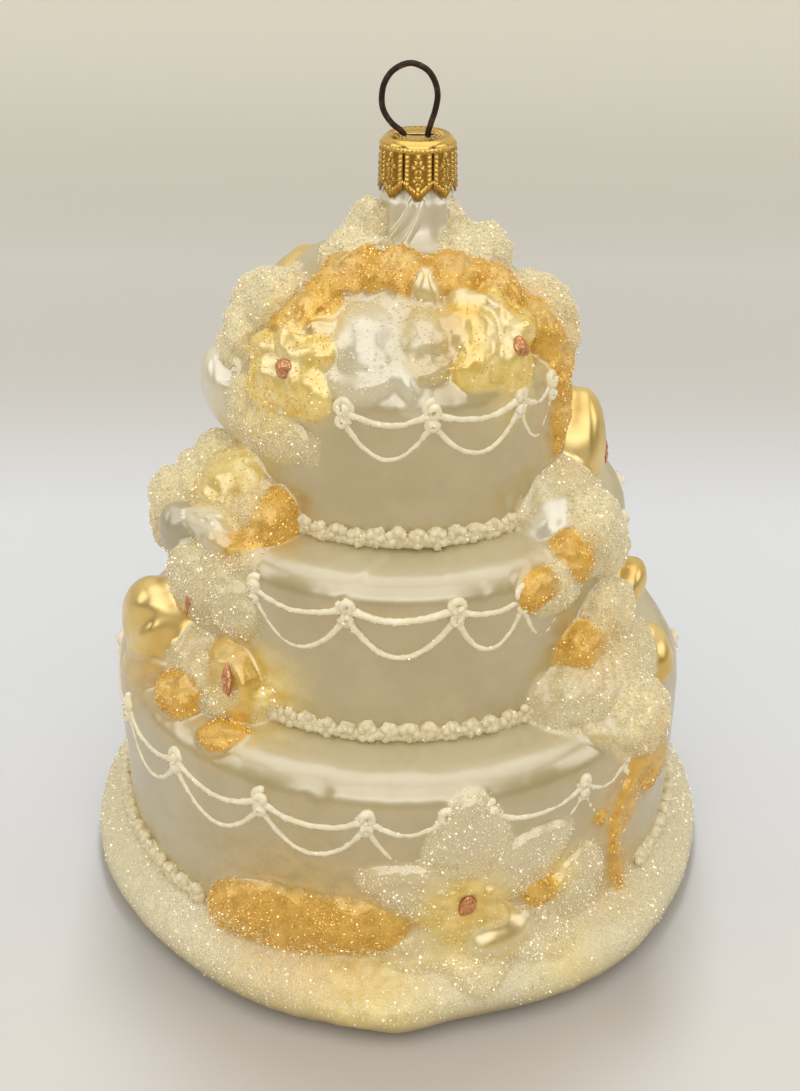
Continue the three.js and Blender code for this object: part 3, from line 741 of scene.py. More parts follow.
def softened(field):
    """A round grid of numbers with each mixed with its neighbours by weights 1, 2, 1 both ways, twice."""
    for _ in range(2):
        field = (np.roll(field, 1, 1) + 2 * field + np.roll(field, -1, 1)) / 4
        padded = np.pad(field, ((1, 1), (0, 0)), mode="edge")
        field = (padded[:-2] + 2 * field + padded[2:]) / 4
    return field


def grid_normals(points, aim):
    """Unit normals of a round grid, from the steps to the next column and the next row. Where a fold turns
    one from its aim line, it is drawn back towards it."""
    across = np.roll(points, -1, 1) - np.roll(points, 1, 1)
    normals = np.cross(across, np.gradient(points, axis=0))
    normals /= np.maximum(np.linalg.norm(normals, axis=-1, keepdims=True), 1e-9)
    facing = (normals * aim).sum(-1, keepdims=True)
    return unit(normals + aim * np.clip(0.2 - facing, 0, None))


def raised_forms(line, points, aim):
    """How far the forms lift each point along its aim line, rounded where they meet, the masks of the paint
    of the form that stands highest there, and the lacquer that drifts round painted forms as a bell curve."""
    points, aim = points.reshape(-1, 3), aim.reshape(-1, 3)
    lift = np.zeros(len(points))
    masks = {m: np.zeros(len(points)) for m in MASKS}
    drift = {m: np.zeros(len(points)) for m in DRIFTING_MASKS}
    height = np.repeat(line[:, 1], SKIN_COLUMNS)
    outside = np.repeat(np.arange(len(line)) < np.argmax(line[:, 1]), SKIN_COLUMNS)
    free = (height > FORM_FLOOR) & (height < FORM_CEILING) & outside
    for form in all_forms():
        centre, _, _, normal = form_frame(*form[2:7])
        away = np.linalg.norm(points - centre, axis=1)
        near = free & (away < 0.75 * max(form[7:]) + FORM_MARGIN) & (aim @ normal > FORM_FACING)
        stands, rho = stand_out(points[near], aim[near], form)
        fade, rim, heart = FINISHES[form[1]]
        won = eased(-fade, fade, stands - lift[near]) * eased(0.0, 0.3 * fade, stands)
        inner = eased(0.85, 0.25, rho)
        for mask, values in masks.items():
            share = rim.get(mask, 0) + inner * ((heart or rim).get(mask, 0) - rim.get(mask, 0))
            values[near] += won * (share - values[near])
        lift[near] = soft_top(lift[near], stands, FORM_BLEND)
        for mask, values in drift.items():
            if rim.get(mask, 0) > 0.5:
                blur = DRIFT_STRENGTH * bell(away[near], DRIFT_REACH * form[7])
                values[near] = np.maximum(values[near], blur)
    return lift, masks, drift


def lay_mist(points, masks, drift):
    """Adds drifting lacquer to the masks, that of the forms and bell curves about the places of the mist on
    front and back. Gold, silver and the neck stay clear of it."""
    clear = (1 - np.maximum(masks["gold"], masks["silver"])) * eased(*MIST_OUT, points[:, 2])
    for mask, bearing, radius, height, spread, strength in PAINT_MIST:
        for turn in (0, 180):
            away = np.linalg.norm(points - spot(bearing + turn, radius, height), axis=1)
            drift[mask] = np.maximum(drift[mask], strength * bell(away, spread))
    for mask, values in drift.items():
        masks[mask] = np.maximum(masks[mask], values * clear)


def finish_plain_glass(line, points, masks, bare, drips):
    """Masks of the glass between the forms: glitter on the board's top, gloss on the neck and its drips, and
    a pearly gloss on the shelves, where the outline turns level, that also lightens their colour as painted
    sheen where the glass faces up."""
    height, reach = points[..., 2], np.hypot(points[..., 0], points[..., 1])
    wall = TIERS[0]["wall"]
    on_plate = eased(wall + 0.2, wall + 1.4, reach) * eased(*PLATE_IN, height) * eased(*PLATE_OUT, height)
    masks["plate"] = on_plate * np.clip(bare + 0.4, 0, 1)
    on_neck = eased(*NECK_IN, height) * (1 - masks["frost"])
    facing_up = -np.gradient(line[:, 0]) / np.hypot(*np.gradient(line, axis=0).T)
    on_shelf = eased(0.8, 1.0, facing_up)[:, None] * eased(*SHELF_IN, height) * eased(*SHELF_OUT, height)
    # On the shelves the gloss lightens the colour as well: painted sheen on the glass that faces up.
    for gloss in (0.75 * on_neck, np.clip(2.5 * drips, 0, 1), SHELF_GLOSS_AND_PAINTED_SHEEN * on_shelf * bare):
        masks["gloss"] = np.maximum(masks["gloss"], gloss)
    masks["silver"] = np.maximum(masks["silver"], 0.25 * on_neck)


def fine_relief(bearing, points, masks, bare, drips):
    """Relief along the normals, as random fields: slow waves on bare glass, grain on frosting and glitter,
    crumpled folds on lacquer, then the mould seam and the neck's drips. It dies out at the foot."""
    height = points[..., 2]
    folds = 1 - 2 * np.abs(rough(points, 3.4, 9))
    relief = 0.08 * bare * rough(points, 14, 1)
    relief += masks["frost"] * (0.55 * rough(points, 2.6, 2) + 0.32 * rough(points, 1.2, 3))
    relief += masks["orange"] * (0.26 * folds + 0.16 * rough(points, 1.6, 4))
    relief += masks["yellow"] * (0.32 * rough(points, 2.6, 6) + 0.12 * folds + 0.16 * rough(points, 1.4, 10))
    relief += masks["gold"] * 0.12 * rough(points, 3.6, 5)
    dusted = masks["plate"] + 0.5 * masks["glitter"]
    relief += dusted * (0.12 * rough(points, 0.9, 7) + 0.16 * rough(points, 4.0, 8))
    relief += seam_relief(bearing, height) * bare + drips
    return relief * eased(*RELIEF_IN, height)


def glass_skin():
    """The whole glass surface as a grid of points with normals and paint masks. The turned outline is
    swung round the axis, each form lifts it along a fixed aim line that rises from the body, the highest
    form wins with its paint, and fine relief is then laid along the normals."""
    line = outline()
    bearing = np.linspace(-180, 180, SKIN_COLUMNS, endpoint=False)
    rim_share = eased(TIERS[0]["wall"] + 1, BOARD_RADIUS - 1, line[:, 0])
    radius = line[:, :1] + rim_share[:, None] * rim_wave(bearing)
    points = spot(bearing[None], radius, line[:, 1:])
    points[..., 0] += NECK_SHIFT * eased(HEAP_TOP - 5, HEAP_TOP, line[:, 1:])
    rise = np.radians(np.interp(line[:, 1], AIM_HEIGHTS, AIM_RISES))[:, None, None]
    aim = outward(bearing)[None] * np.cos(rise) + np.sin(rise) * UP
    grid = points.shape[:2]

    lift, masks, drift = raised_forms(line, points, aim)
    points = points + softened(lift.reshape(grid))[..., None] * aim
    lay_mist(points.reshape(-1, 3), masks, drift)
    masks = {m: values.reshape(grid) for m, values in masks.items()}
    bare = 1 - np.clip(sum(masks[m] for m in COVERING_MASKS), 0, 1)
    drips = neck_drips(points)
    finish_plain_glass(line, points, masks, bare, drips)
    relief = fine_relief(bearing, points, masks, bare, drips)
    points = points + relief[..., None] * grid_normals(points, aim)
    return {"line": line, "points": points, "normals": grid_normals(points, aim), "masks": masks}


def seam_relief(bearing, height):
    """Mould seam down the front and back: a faint raised line, a bell curve of the bearing, on a slight
    step between the two halves of the mould."""
    off = np.mod(bearing + 90, 180) - 90 + SEAM_OFFSET
    line = 0.03 * bell(off, 0.6)
    step = 0.06 * np.tanh(off / 0.9) * bell(off, 9)
    return (line + step)[None] * eased(*SEAM_IN, height) * eased(*SEAM_OUT, height)


def neck_drips(points):
    """Two drawn ridges of glass that run down the neck's front, slanting to the left as they fall."""
    x, y, z = points[..., 0] - NECK_SHIFT, points[..., 1], points[..., 2]
    around = np.degrees(np.arctan2(x, -y))
    fall = eased(*DRIP_FALL, z)
    relief = np.zeros_like(z)
    for start, end in NECK_DRIPS:
        off = (around - start - (end - start) * fall) * np.radians(1) * np.hypot(x, y)
        relief += 0.55 * bell(off, 0.36)
    return relief * eased(*DRIP_IN, z) * eased(*DRIP_OUT, z)


def add_glass_body(skin, finish):
    """The glass skin in three closed pieces that meet in the creases between the tiers. The fans that close
    them there run down to a point well inside the tier below."""
    line, rows = skin["line"], len(skin["line"])
    peak = int(np.argmax(line[:, 1]))
    cuts = [0] + [int(np.argmin(np.abs(line[:peak, 1] - tier["base"]))) for tier in TIERS[1:]] + [rows - 1]
    names = ("board_and_lower_tier", "middle_tier", "upper_tier_and_neck")
    hubs = [0.0] + [tier["base"] - HUB_DEPTH for tier in TIERS[1:]] + [skin["points"][-1, :, 2].mean()]
    for k, (name, low, high) in enumerate(zip(names, cuts, cuts[1:])):
        band = slice(low, high + 1)
        points, faces = capped(skin["points"][band], np.array([[0, 0, hubs[k]], [0, 0, hubs[k + 1]]]))
        poles = np.array([[0, 0, -1.0], [0, 0, 1.0]])
        normals = np.concatenate([skin["normals"][band].reshape(-1, 3), poles])
        masks = {m: np.append(v[band].ravel(), [0, 0]) for m, v in skin["masks"].items()}
        piece = make_piece(name, points, faces, finish, masks, normals)
        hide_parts("glass_body")


# Piping

def wall_radius(line, height, tier):
    """Radius of a tier's wall or shoulder at a height, read off the outline."""
    inside = (line[:, 1] > TIERS[tier]["base"] + 0.8) & (line[:, 1] < TIERS[tier]["top"] - 0.3)
    inside &= line[:, 0] > TIERS[tier]["wall"] - TIERS[tier]["shoulder"]
    return np.interp(height, line[inside, 1], line[inside, 0])


def curl(bearing, wall, height, arm, start):
    """A path that winds in on a wall, its arm shrinking as it goes, and stands off the wall towards its
    middle."""
    t = np.linspace(0, 1, KNOB_STEPS)
    wind = 2 * np.pi * KNOB_TURNS * t + start
    reach = arm * (1 - 0.8 * t)
    across = np.degrees(reach * np.cos(wind) / wall)
    return spot(bearing + across, wall + 0.15 + 0.75 * arm * t, height + 1.15 * reach * np.sin(wind))


def add_swags(skin, finish):
    """Two ropes between each pair of knobs, each sagging as 4u(1 - u) and swelling to its ends. A knob is a
    rope piped in a curl, with a smaller curl under it."""
    parts = []
    u = np.linspace(0, 1, SWAG_STEPS)
    swell = 1 + 0.6 * (2 * u - 1) ** 4
    for swag, turn in itertools.product(SWAGS, (0, 180)):
        tier, level = swag["tier"], swag["height"]
        for run in swag["runs"]:
            for k, (start, end) in enumerate(zip(run, run[1:])):
                sway = 0.5 * np.sin(7 * u + 2.1 * k + start) * u * (1 - u)
                for sag, rope, drop in zip(swag["sags"], ROPE_RADII, ROPE_DROPS):
                    height = level - drop - sag * 4 * u * (1 - u) + sway
                    wall = wall_radius(skin["line"], height, tier) + 0.5 * rope
                    path = spot(start + (end - start) * u + turn, wall, height)
                    parts.append(tube(path, rope * swell, ROPE_SIDES, SEEDS["ropes"] + k))
            wall = wall_radius(skin["line"], level, tier)
            for k, knob in enumerate(run):
                for up, arm in KNOB_CURLS:
                    wind = 1.9 * k + run[-2] + 3 * up
                    path = curl(knob + turn, wall - 0.12 * up, level + up, KNOB_REACH * arm, wind)
                    parts.append(tube(path, KNOB_ROPE * math.sqrt(arm), ROPE_SIDES, SEEDS["knobs"] + k))
    points, faces = joined(parts)
    make_piece("piped_swags", points, faces, finish)
    return points


def add_borders(finish):
    """Rows of piped shells along the foot of each tier: a rope laid in the corner, and on it round lumps
    that touch, each with seven small lumps about it on a winding line, sized and turned at random."""
    rng = np.random.default_rng(SEEDS["beads"])
    parts, places, sizes = [], [], []
    t = np.arange(BEAD_LUMPS)
    for border, turn in itertools.product(BORDERS, (0, 180)):
        tier, pitch = TIERS[border["tier"]], border["pitch"]
        step = math.degrees(pitch / tier["wall"])
        wall = tier["wall"] + TIER_FLARE
        for start, end in border["spans"]:
            bearings = np.linspace(start - 0.3 * step, end - 0.7 * step, BED_STEPS) + turn
            bed = spot(bearings, wall + 0.3, tier["base"] + 1.3)
            parts.append(tube(bed, BED_RADIUS, BED_SIDES, SEEDS["bed"]))
            for bearing in np.arange(start, end, step) + turn:
                up, wind = tier["base"] + rng.uniform(1.6, 2.0), rng.uniform(0, 6.3)
                places.append(spot(bearing, wall + 0.2, up))
                sizes.append(np.array([0.54 * pitch, 1.2, 1.5]) * rng.uniform(0.9, 1.1, 3))
                around = wind + t * 1.2
                aside = 0.31 * step * np.cos(around) + rng.uniform(-0.08, 0.08, BEAD_LUMPS) * step
                rise = 0.78 * np.sin(around) + rng.uniform(-0.15, 0.15, BEAD_LUMPS)
                places.extend(spot(bearing + aside, wall + 0.5 + 0.06 * t, up + rise))
                sizes.extend(rng.uniform(0.66, 0.92, (BEAD_LUMPS, 3)))
    parts.append(lumps(np.array(places), np.array(sizes), SEEDS["lumps"]))
    points, faces = joined(parts)
    make_piece("bead_borders", points, faces, finish)
    return points


# Glitter

def scatter(skin, density, rng):
    """Seeded places on the skin. Cells are drawn in proportion to their area times the density, in grains
    for each square millimetre, and each place is a random mix of its cell's corners."""
    p = skin["points"]
    right, up = np.roll(p, -1, 1)[:-1], p[1:]
    area = np.linalg.norm(np.cross(right - p[:-1], up - p[:-1]), axis=-1)
    weight = np.cumsum((area * density[:-1]).ravel())
    drawn = np.searchsorted(weight, rng.uniform(0, weight[-1], int(weight[-1])))
    drawn = np.minimum(drawn, len(weight) - 1)
    a, b = rng.uniform(0, 1, (2, len(drawn), 1))
    corner = p[:-1].reshape(-1, 3)[drawn]
    places = corner + a * (right.reshape(-1, 3)[drawn] - corner) + b * (up.reshape(-1, 3)[drawn] - corner)
    return places, skin["normals"][:-1].reshape(-1, 3)[drawn]


def crystals(places, sizes, rng):
    """One four-faced crystal at each place, turned at random by a unit quaternion, its corners drawn in or
    out at random."""
    corners = np.array([(1, 1, 1), (1, -1, -1), (-1, 1, -1), (-1, -1, 1)]) / math.sqrt(3)
    faces = np.array([(0, 1, 2), (0, 3, 1), (0, 2, 3), (1, 3, 2)])
    w, x, y, z = np.moveaxis(rng.normal(size=(len(places), 4)), -1, 0)
    norm = np.sqrt(w * w + x * x + y * y + z * z)
    w, x, y, z = w / norm, x / norm, y / norm, z / norm
    turn = np.stack([
        np.stack([1 - 2 * (y * y + z * z), 2 * (x * y - w * z), 2 * (x * z + w * y)], -1),
        np.stack([2 * (x * y + w * z), 1 - 2 * (x * x + z * z), 2 * (y * z - w * x)], -1),
        np.stack([2 * (x * z - w * y), 2 * (y * z + w * x), 1 - 2 * (x * x + y * y)], -1),
    ], 1)
    stretch = rng.uniform(*GRAIN_STRETCH, (len(places), 4, 1))
    points = places[:, None] + np.einsum("nij,kj->nki", turn, corners) * stretch * sizes[:, None, None]
    numbers = faces[None] + 4 * np.arange(len(places))[:, None, None]
    return points.reshape(-1, 3), [numbers.reshape(-1, 3)]


def add_grains(name, places, normals, size_range, finish, rng):
    """Loose crystals seated on what carries them, each with its own glint, in pieces of a set number."""
    sizes = rng.uniform(*size_range, len(places))
    for k, start in enumerate(range(0, len(places), GRAINS_A_PIECE)):
        part = slice(start, start + GRAINS_A_PIECE)
        seats = places[part] + normals[part] * sizes[part, None] * GRAIN_SEAT
        points, faces = crystals(seats, sizes[part], rng)
        glint = np.repeat(rng.uniform(0, 1, len(points) // 4), 4)
        make_piece(f"{name}_{k + 1}", points, faces, finish, {"glint": glint}, flat=True)


def add_glitter(skin, ropes, beads):
    """Clear crystals on the frosted buds, bright ones on the lily petals, board and piping, and gold ones on
    the orange and yellow lacquer. A random field thins those of petals, board and lacquer in patches."""
    rng = np.random.default_rng(SEEDS["grains"])
    masks = skin["masks"]
    patchy = eased(-0.3, 0.3, rough(skin["points"], GRAIN_PATCH, SEEDS["patches"]))
    clear = sparkling_crystal("clear_crystals", (0.81, 0.71, 0.45), (0.95, 0.88, 0.68), 0.04, True, 0.03)
    bright = sparkling_crystal("bright_crystals", (0.86, 0.76, 0.50), (1.0, 0.95, 0.80), 0.06, False, 0.09)
    gold = sparkling_crystal("gold_crystals", (0.80, 0.45, 0.07), (1.0, 0.77, 0.32), 0.6, False, 0.08)
    frosted = FROST_GRAINS * masks["frost"] ** 1.3
    dusted = DUST_GRAINS * masks["glitter"] * (0.4 + 0.6 * patchy)
    dusted = dusted + DUST_GRAINS * masks["plate"] * (0.3 + 0.7 * patchy)
    gilded = GOLD_GRAINS * masks["spark"] * (1 - masks["glitter"]) ** 2 * (0.3 + 0.7 * patchy)
    add_grains("frost_crystals", *scatter(skin, frosted, rng), FROST_GRAIN_SIZES, clear, rng)
    add_grains("dusted_crystals", *scatter(skin, dusted, rng), DUST_GRAIN_SIZES, bright, rng)
    on_ropes = ropes[rng.choice(len(ropes), ROPE_GRAINS)]
    piping = np.concatenate([on_ropes, beads[rng.choice(len(beads), BEAD_GRAINS)]])
    add_grains("piping_crystals", piping, 0 * piping, PIPING_GRAIN_SIZES, bright, rng)
    add_grains("gold_glitter", *scatter(skin, gilded, rng), GOLD_GRAIN_SIZES, gold, rng)


def add_copper_centres(skin, finish):
    """Lumpy oval dabs of copper glitter, each a low dome seated at the highest of the skin about its place
    and roughened by a random field."""
    flat = skin["points"].reshape(-1, 3)
    t = np.linspace(1, 0.06, DAB_ROWS)[:, None, None]
    a = full_turn(DAB_COLUMNS)[None, :, None]
    parts = []
    for dab, turned in itertools.product(COPPER_DABS, (False, True)):
        bearing, radius, height, lean, turn, length, width = dab
        if turned:
            wall_spray = height < TIERS[0]["top"] - TIERS[0]["shoulder"]
            bearing = bearing + 180 if wall_spray else 180 + bearing * BACK_CLOSENESS
            height -= back_sink(height)
        centre, along, across, normal = form_frame(bearing, radius, height, lean, turn)
        off = flat - centre
        aside, out = np.linalg.norm(np.cross(off, normal), axis=1), off @ normal
        seat = out[(aside < 0.3 * (length + width)) & (np.abs(out) <= DAB_REACH)].max() - 0.15
        wobble = 1 + 0.05 * np.sin(3 * a + bearing) + 0.04 * np.sin(5 * a)
        disc = t * wobble * (length / 2 * np.cos(a) * along + width / 2 * np.sin(a) * across)
        points = centre + disc + normal * (seat + 0.5 * arched(t) - 0.05)
        points = points + normal * (0.14 * rough(points, 0.55, SEEDS["dabs"]))[..., None]
        parts.append(capped(points))
    points, faces = joined(parts)
    make_piece("copper_centres", points, faces, finish)


# Cap and hanger

def dots(x, y, pitch, radius):
    """Round bosses at whole steps of the pitch along y on the line x = 0."""
    off = np.mod(y + pitch / 2, pitch) - pitch / 2
    return np.exp(-((x**2 + off**2) / radius**2) ** 2)


def tab_stamp(x, y, half):
    """Stamped relief of one tab, x across and y down from its slits: bosses along both edges and round
    its point, and two six-petalled stars between two single bosses."""
    edge = half - TAB_EDGE
    tip = CAP_SLIT_TOP - CAP_TIP_HEIGHT
    slope = (tip - y) - CAP_POINT_LENGTH * np.abs(x) / half
    stamp = dots(np.abs(x) - edge, y, 0.6, 0.24) * (slope > 0.9)
    stamp = np.maximum(stamp, dots((slope - 0.85) * 0.8, x * 1.1, 0.55, 0.22))
    for middle, size in TAB_STARS:
        a, r = np.arctan2(y - middle, x), np.hypot(x, y - middle)
        stamp = np.maximum(stamp, bell(r - size, 0.5 * size) * np.abs(np.cos(3 * a)) ** 3)
    for place in TAB_BOSSES:
        stamp = np.maximum(stamp, np.exp(-((np.hypot(x * 0.8, y - place) / 0.3) ** 4)))
    return stamp


def cap_top(a):
    """Top of the cap at angles a, from the slot's edge out to the bevel, with rings of bosses and a round
    rib. Gives the points and how far each is stamped."""
    round_slot = np.stack([SLOT_LENGTH / 2 * np.sin(a), -SLOT_WIDTH / 2 * np.cos(a)], -1)
    round_top = (CAP_TOP_RADIUS - CAP_BEVEL) * np.stack([np.sin(a), -np.cos(a)], -1)
    share = np.linspace(0, 1, CAP_TOP_ROWS)[:, None, None]
    disc = round_slot * (1 - share) + round_top * share
    ring = np.linalg.norm(disc, axis=-1)
    bossed = 0 * ring
    for radius, start, pitch, size, high in CAP_BOSS_RINGS:
        bossed = bossed + high * dots(ring - radius, a * radius + start, pitch, size)
    bossed = bossed * eased(2.1, 2.4, ring)
    height = CAP_TOP - CAP_DISH + 0.16 * bell(ring - CAP_RIB_RADIUS, 0.25) + 0.18 * bossed
    return np.concatenate([disc, height[..., None]], -1), 0.35 + 0.65 * np.clip(bossed, 0, 1)


def cap_side(a, across):
    """Side of the cap at angles a, across its tabs from -1 to 1, in rows from the bevel down: a rounded
    corner, a beaded band and the pointed, stamped tabs. Gives radius, height and how far each point is
    stamped."""
    bend = np.linspace(0, np.pi / 2, CAP_CORNER_ROWS)[1:, None]
    corner_r = CAP_TOP_RADIUS - CAP_BEVEL * (1 - np.sin(bend) ** 1.5) + 0 * a
    corner_z = CAP_TOP - CAP_BEVEL * (1 - np.clip(np.cos(bend), 0, 1) ** 1.5) + 0 * a
    band = np.linspace(0, 1, CAP_BAND_ROWS)[1:, None]
    band_z = CAP_TOP - CAP_BEVEL + band * (CAP_SLIT_TOP - CAP_TOP + CAP_BEVEL) + 0 * a
    lift, radius, pitch, size = CAP_BAND_BEADS
    beads = dots(band_z - CAP_SLIT_TOP - lift, a * radius, pitch, size)
    band_r = CAP_TOP_RADIUS + CAP_FLARE * band + 0.2 * beads
    down = np.linspace(0, 1, CAP_TAB_ROWS)[1:, None]
    tab_z = CAP_SLIT_TOP - down * (CAP_SLIT_TOP - CAP_TIP_HEIGHT - CAP_POINT_LENGTH * np.abs(across))
    flare = (CAP_SLIT_TOP - tab_z) / (CAP_SLIT_TOP - CAP_TIP_HEIGHT)
    half = math.radians(CAP_TAB_HALF) * CAP_SKIRT_RADIUS
    stamp = tab_stamp(across * half + 0 * down, CAP_SLIT_TOP - tab_z, half)
    tab_r = CAP_TOP_RADIUS + CAP_FLARE + (CAP_SKIRT_RADIUS - CAP_TOP_RADIUS - CAP_FLARE) * flare
    tab_r = tab_r + 0.24 * stamp + 0.05 * (1 - across**2) * eased(0, 0.3, flare)
    stamped = np.concatenate([0.7 + 0 * corner_r, 0.3 + 0.7 * beads, stamp])
    return np.concatenate([corner_r, band_r, tab_r]), np.concatenate([corner_z, band_z, tab_z]), stamped


def add_cap(finish):
    """Crown cap as one grid: columns round the cap in eight tabs, rows from the slot's edge over the top
    and down the side, with the cells between tabs left out below the slits. The sheet is given its
    thickness inwards, and a mask tells its stamped bosses from the ground."""
    across = np.linspace(-1, 1, CAP_COLUMNS)
    bearing = (np.arange(CAP_TABS)[:, None] * 360 / CAP_TABS + across * CAP_TAB_HALF).ravel()
    top, top_stamped = cap_top(np.radians(bearing))
    radius, height, side_stamped = cap_side(np.radians(bearing), np.tile(across, CAP_TABS))
    points = np.concatenate([top, spot(bearing, radius, height)])
    points[..., 0] += NECK_SHIFT
    rows, columns = points.shape[:2]
    faces = grid_faces(rows, columns).reshape(rows - 1, columns, 4)[:, :, ::-1]
    kept = np.ones((rows - 1, columns), bool)
    kept[rows - CAP_TAB_ROWS:, CAP_COLUMNS - 1::CAP_COLUMNS] = False
    masks = {"raised": np.concatenate([top_stamped, side_stamped]).ravel()}
    piece = make_piece("stamped_cap", points.reshape(-1, 3), [faces[kept]], finish, masks)
    sheet = piece.modifiers.new("sheet", "SOLIDIFY")
    sheet.thickness = CAP_SHEET * MM
    sheet.offset = -1
    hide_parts("crown_cap")


def add_hanger(finish):
    """Spring wire: a round section carried along a smooth path up one leg, round the loop and down the
    other, square to the path."""
    path = spline(LOOP_PATH, WIRE_STEPS)
    line = np.stack([path[:, 0], 0 * path[:, 0], path[:, 1]], -1)
    along = unit(np.gradient(line, axis=0))
    ring = rings(along, np.broadcast_to([0, 1.0, 0], along.shape), WIRE_SIDES)
    points, faces = capped(line[:, None] + WIRE_RADIUS * ring + [NECK_SHIFT, 0, LOOP_SEAT])
    piece = make_piece("wire_hanger", points, faces, finish)
    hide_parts("hanger_loop")


# Finishes

class Shade:
    """One output of a material's nodes. Sums and products with numbers or other outputs add Math nodes."""

    def __init__(self, tree, output=None):
        self.tree, self.output = tree, output

    def node(self, kind, settings=None, sockets=None, out=0):
        """Any node: its type, its settings, then the values or links of its sockets."""
        made = self.tree.nodes.new(kind)
        for name, value in (settings or {}).items():
            setattr(made, name, value)
        for key, value in (sockets or {}).items():
            if isinstance(value, Shade):
                self.tree.links.new(value.output, made.inputs[key])
            else:
                made.inputs[key].default_value = value
        return Shade(self.tree, made.outputs[out])

    def math(self, operation, a, b):
        """A Math node on two numbers or outputs."""
        return self.node("ShaderNodeMath", {"operation": operation}, {0: a, 1: b})

    def __add__(self, other):
        return self.math("ADD", self, other)

    def __sub__(self, other):
        return self.math("SUBTRACT", self, other)

    def __rsub__(self, other):
        return self.math("SUBTRACT", other, self)

    def __mul__(self, other):
        return self.math("MULTIPLY", self, other)

    __radd__, __rmul__ = __add__, __mul__

    def eased(self, low, high):
        """Smooth step of a value from 0 at low to 1 at high."""
        settings = {"interpolation_type": "SMOOTHSTEP"}
        return self.node("ShaderNodeMapRange", settings, {"Value": self, 1: low, 2: high})

    def mix(self, first, second, blend="MIX"):
        """Colour first where this value is 0, and where it is 1 second, or first blended with it."""
        first, second = ((*c, 1) if isinstance(c, tuple) else c for c in (first, second))
        settings = {"data_type": "RGBA", "blend_type": blend}
        return self.node("ShaderNodeMix", settings, {0: self, 6: first, 7: second}, 2)

    def paint(self, name):
        """One of the piece's own masks."""
        return self.node("ShaderNodeAttribute", {"attribute_name": name}, out=2)

    def mottle(self, place, size, detail):
        """Random field from 0 to 1 with cells of about that many millimetres."""
        sockets = {"Vector": place, "Scale": 1 / (size * MM), "Detail": detail}
        return self.node("ShaderNodeTexNoise", None, sockets)

    def glints(self, place, size):
        """A random number for each of the cells of about that many millimetres."""
        cells = self.node("ShaderNodeTexVoronoi", None, {"Vector": place, "Scale": 1 / (size * MM)}, "Color")
        return self.node("ShaderNodeSeparateColor", None, {0: cells}, 0)

    def bump(self, strength, depth, height):
        """Normal roughened by a height, up to a depth in millimetres."""
        sockets = {"Strength": strength, "Distance": depth * MM, "Height": height}
        return self.node("ShaderNodeBump", None, sockets)


def new_finish(name):
    """A material with a Principled shader; gives the material, the shader node and a start for its nodes."""
    material = bpy.data.materials.new(name)
    material.use_nodes = True
    shader = material.node_tree.nodes["Principled BSDF"]
    start = Shade(material.node_tree)
    place = start.node("ShaderNodeTexCoord", out="Object")
    return material, shader, start, place


def link(shader, **sockets):
    """Links or sets the shader's sockets, underscores standing for spaces."""
    for name, value in sockets.items():
        socket = shader.inputs[name.replace("_", " ")]
        if isinstance(value, Shade):
            value.tree.links.new(value.output, socket)
        else:
            socket.default_value = value


def lacquered_glass():
    """Pearl ivory lacquer with gold, orange and yellow sprayed on the flowers by the skin's own masks.
    Random fields fray the paint's edges and mottle each colour, and frosted parts are dull and grainy."""
    material, shader, start, place = new_finish("lacquered_glass")
    fray = start.mottle(place, 1.4, 3.0) - 0.5
    cloud = start.mottle(place, 7.0, 2.0)
    blotch = start.mottle(place, 2.2, 3.0)
    fine = start.mottle(place, 0.3, 3.0)
    gold, silver = ((start.paint(m) + fray * 0.3).eased(0.25, 0.75) for m in ("gold", "silver"))
    orange, frost = ((start.paint(m) + fray * 0.35).eased(0.0, 1.0) for m in ("orange", "frost"))
    yellow = (start.paint("yellow") + fray * 0.12).eased(0.0, 0.9)
    gloss, plate, glitter, spark = (start.paint(m) for m in ("gloss", "plate", "glitter", "spark"))

    pearl = cloud.eased(0.3, 0.7).mix((0.445, 0.352, 0.146), (0.50, 0.402, 0.19))
    colour = plate.mix(pearl, fine.eased(0.35, 0.65).mix((0.61, 0.53, 0.315), (0.76, 0.695, 0.47)))
    colour = (glitter * 0.5).mix(colour, (0.77, 0.63, 0.33))
    colour = frost.mix(colour, fine.eased(0.35, 0.65).mix((0.68, 0.56, 0.28), (0.86, 0.76, 0.48)))
    # Gloss lightens the colour: the own pale of glossy forms and the neck, and on the level shelves a painted
    # sheen.
    colour = (gloss * 0.7).mix(colour, (0.82, 0.77, 0.59))
    sunny = blotch.eased(0.3, 0.7).mix((0.82, 0.57, 0.08), (0.95, 0.76, 0.24))
    colour = yellow.mix(colour, sunny)
    amber = blotch.eased(0.3, 0.7).mix((0.62, 0.328, 0.028), (0.83, 0.50, 0.08))
    amber = fine.eased(0.5, 0.75).mix(amber, (0.88, 0.58, 0.125))
    colour = (orange * 0.92).mix(colour, amber)
    golden = cloud.eased(0.3, 0.7).mix((0.74, 0.49, 0.11), (0.88, 0.67, 0.26))
    colour = gold.mix(colour, golden)
    colour = silver.mix(colour, (0.44, 0.39, 0.26))

    smooth = (1 - frost) * (1 - 0.9 * plate)
    metal = 0.2 * smooth + 0.1 * yellow * smooth + 0.1 * orange + 0.6 * gold
    dull = 0.42 + 0.2 * frost + 0.06 * glitter + 0.06 * cloud
    dull = dull - 0.16 * yellow * smooth - 0.1 * orange - 0.14 * gold - 0.1 * silver
    grain = start.bump(0.5, 0.16, fine * (frost + 0.8 * plate + 0.7 * glitter + 0.5 * orange))
    coat = (0.85 + 0.15 * gloss) * (1 - 0.85 * frost) * (1 - 0.8 * plate) * (1 - 0.4 * spark)
    coat = coat * (1 - 0.75 * gold) * (1 - 0.6 * silver) * (1 - 0.85 * orange) * (1 - 0.2 * yellow)
    link(shader, Base_Color=colour, Metallic=metal, Roughness=dull, Normal=grain)
    link(shader, Coat_Weight=coat, Coat_Roughness=0.26, Coat_IOR=2.8)
    return material


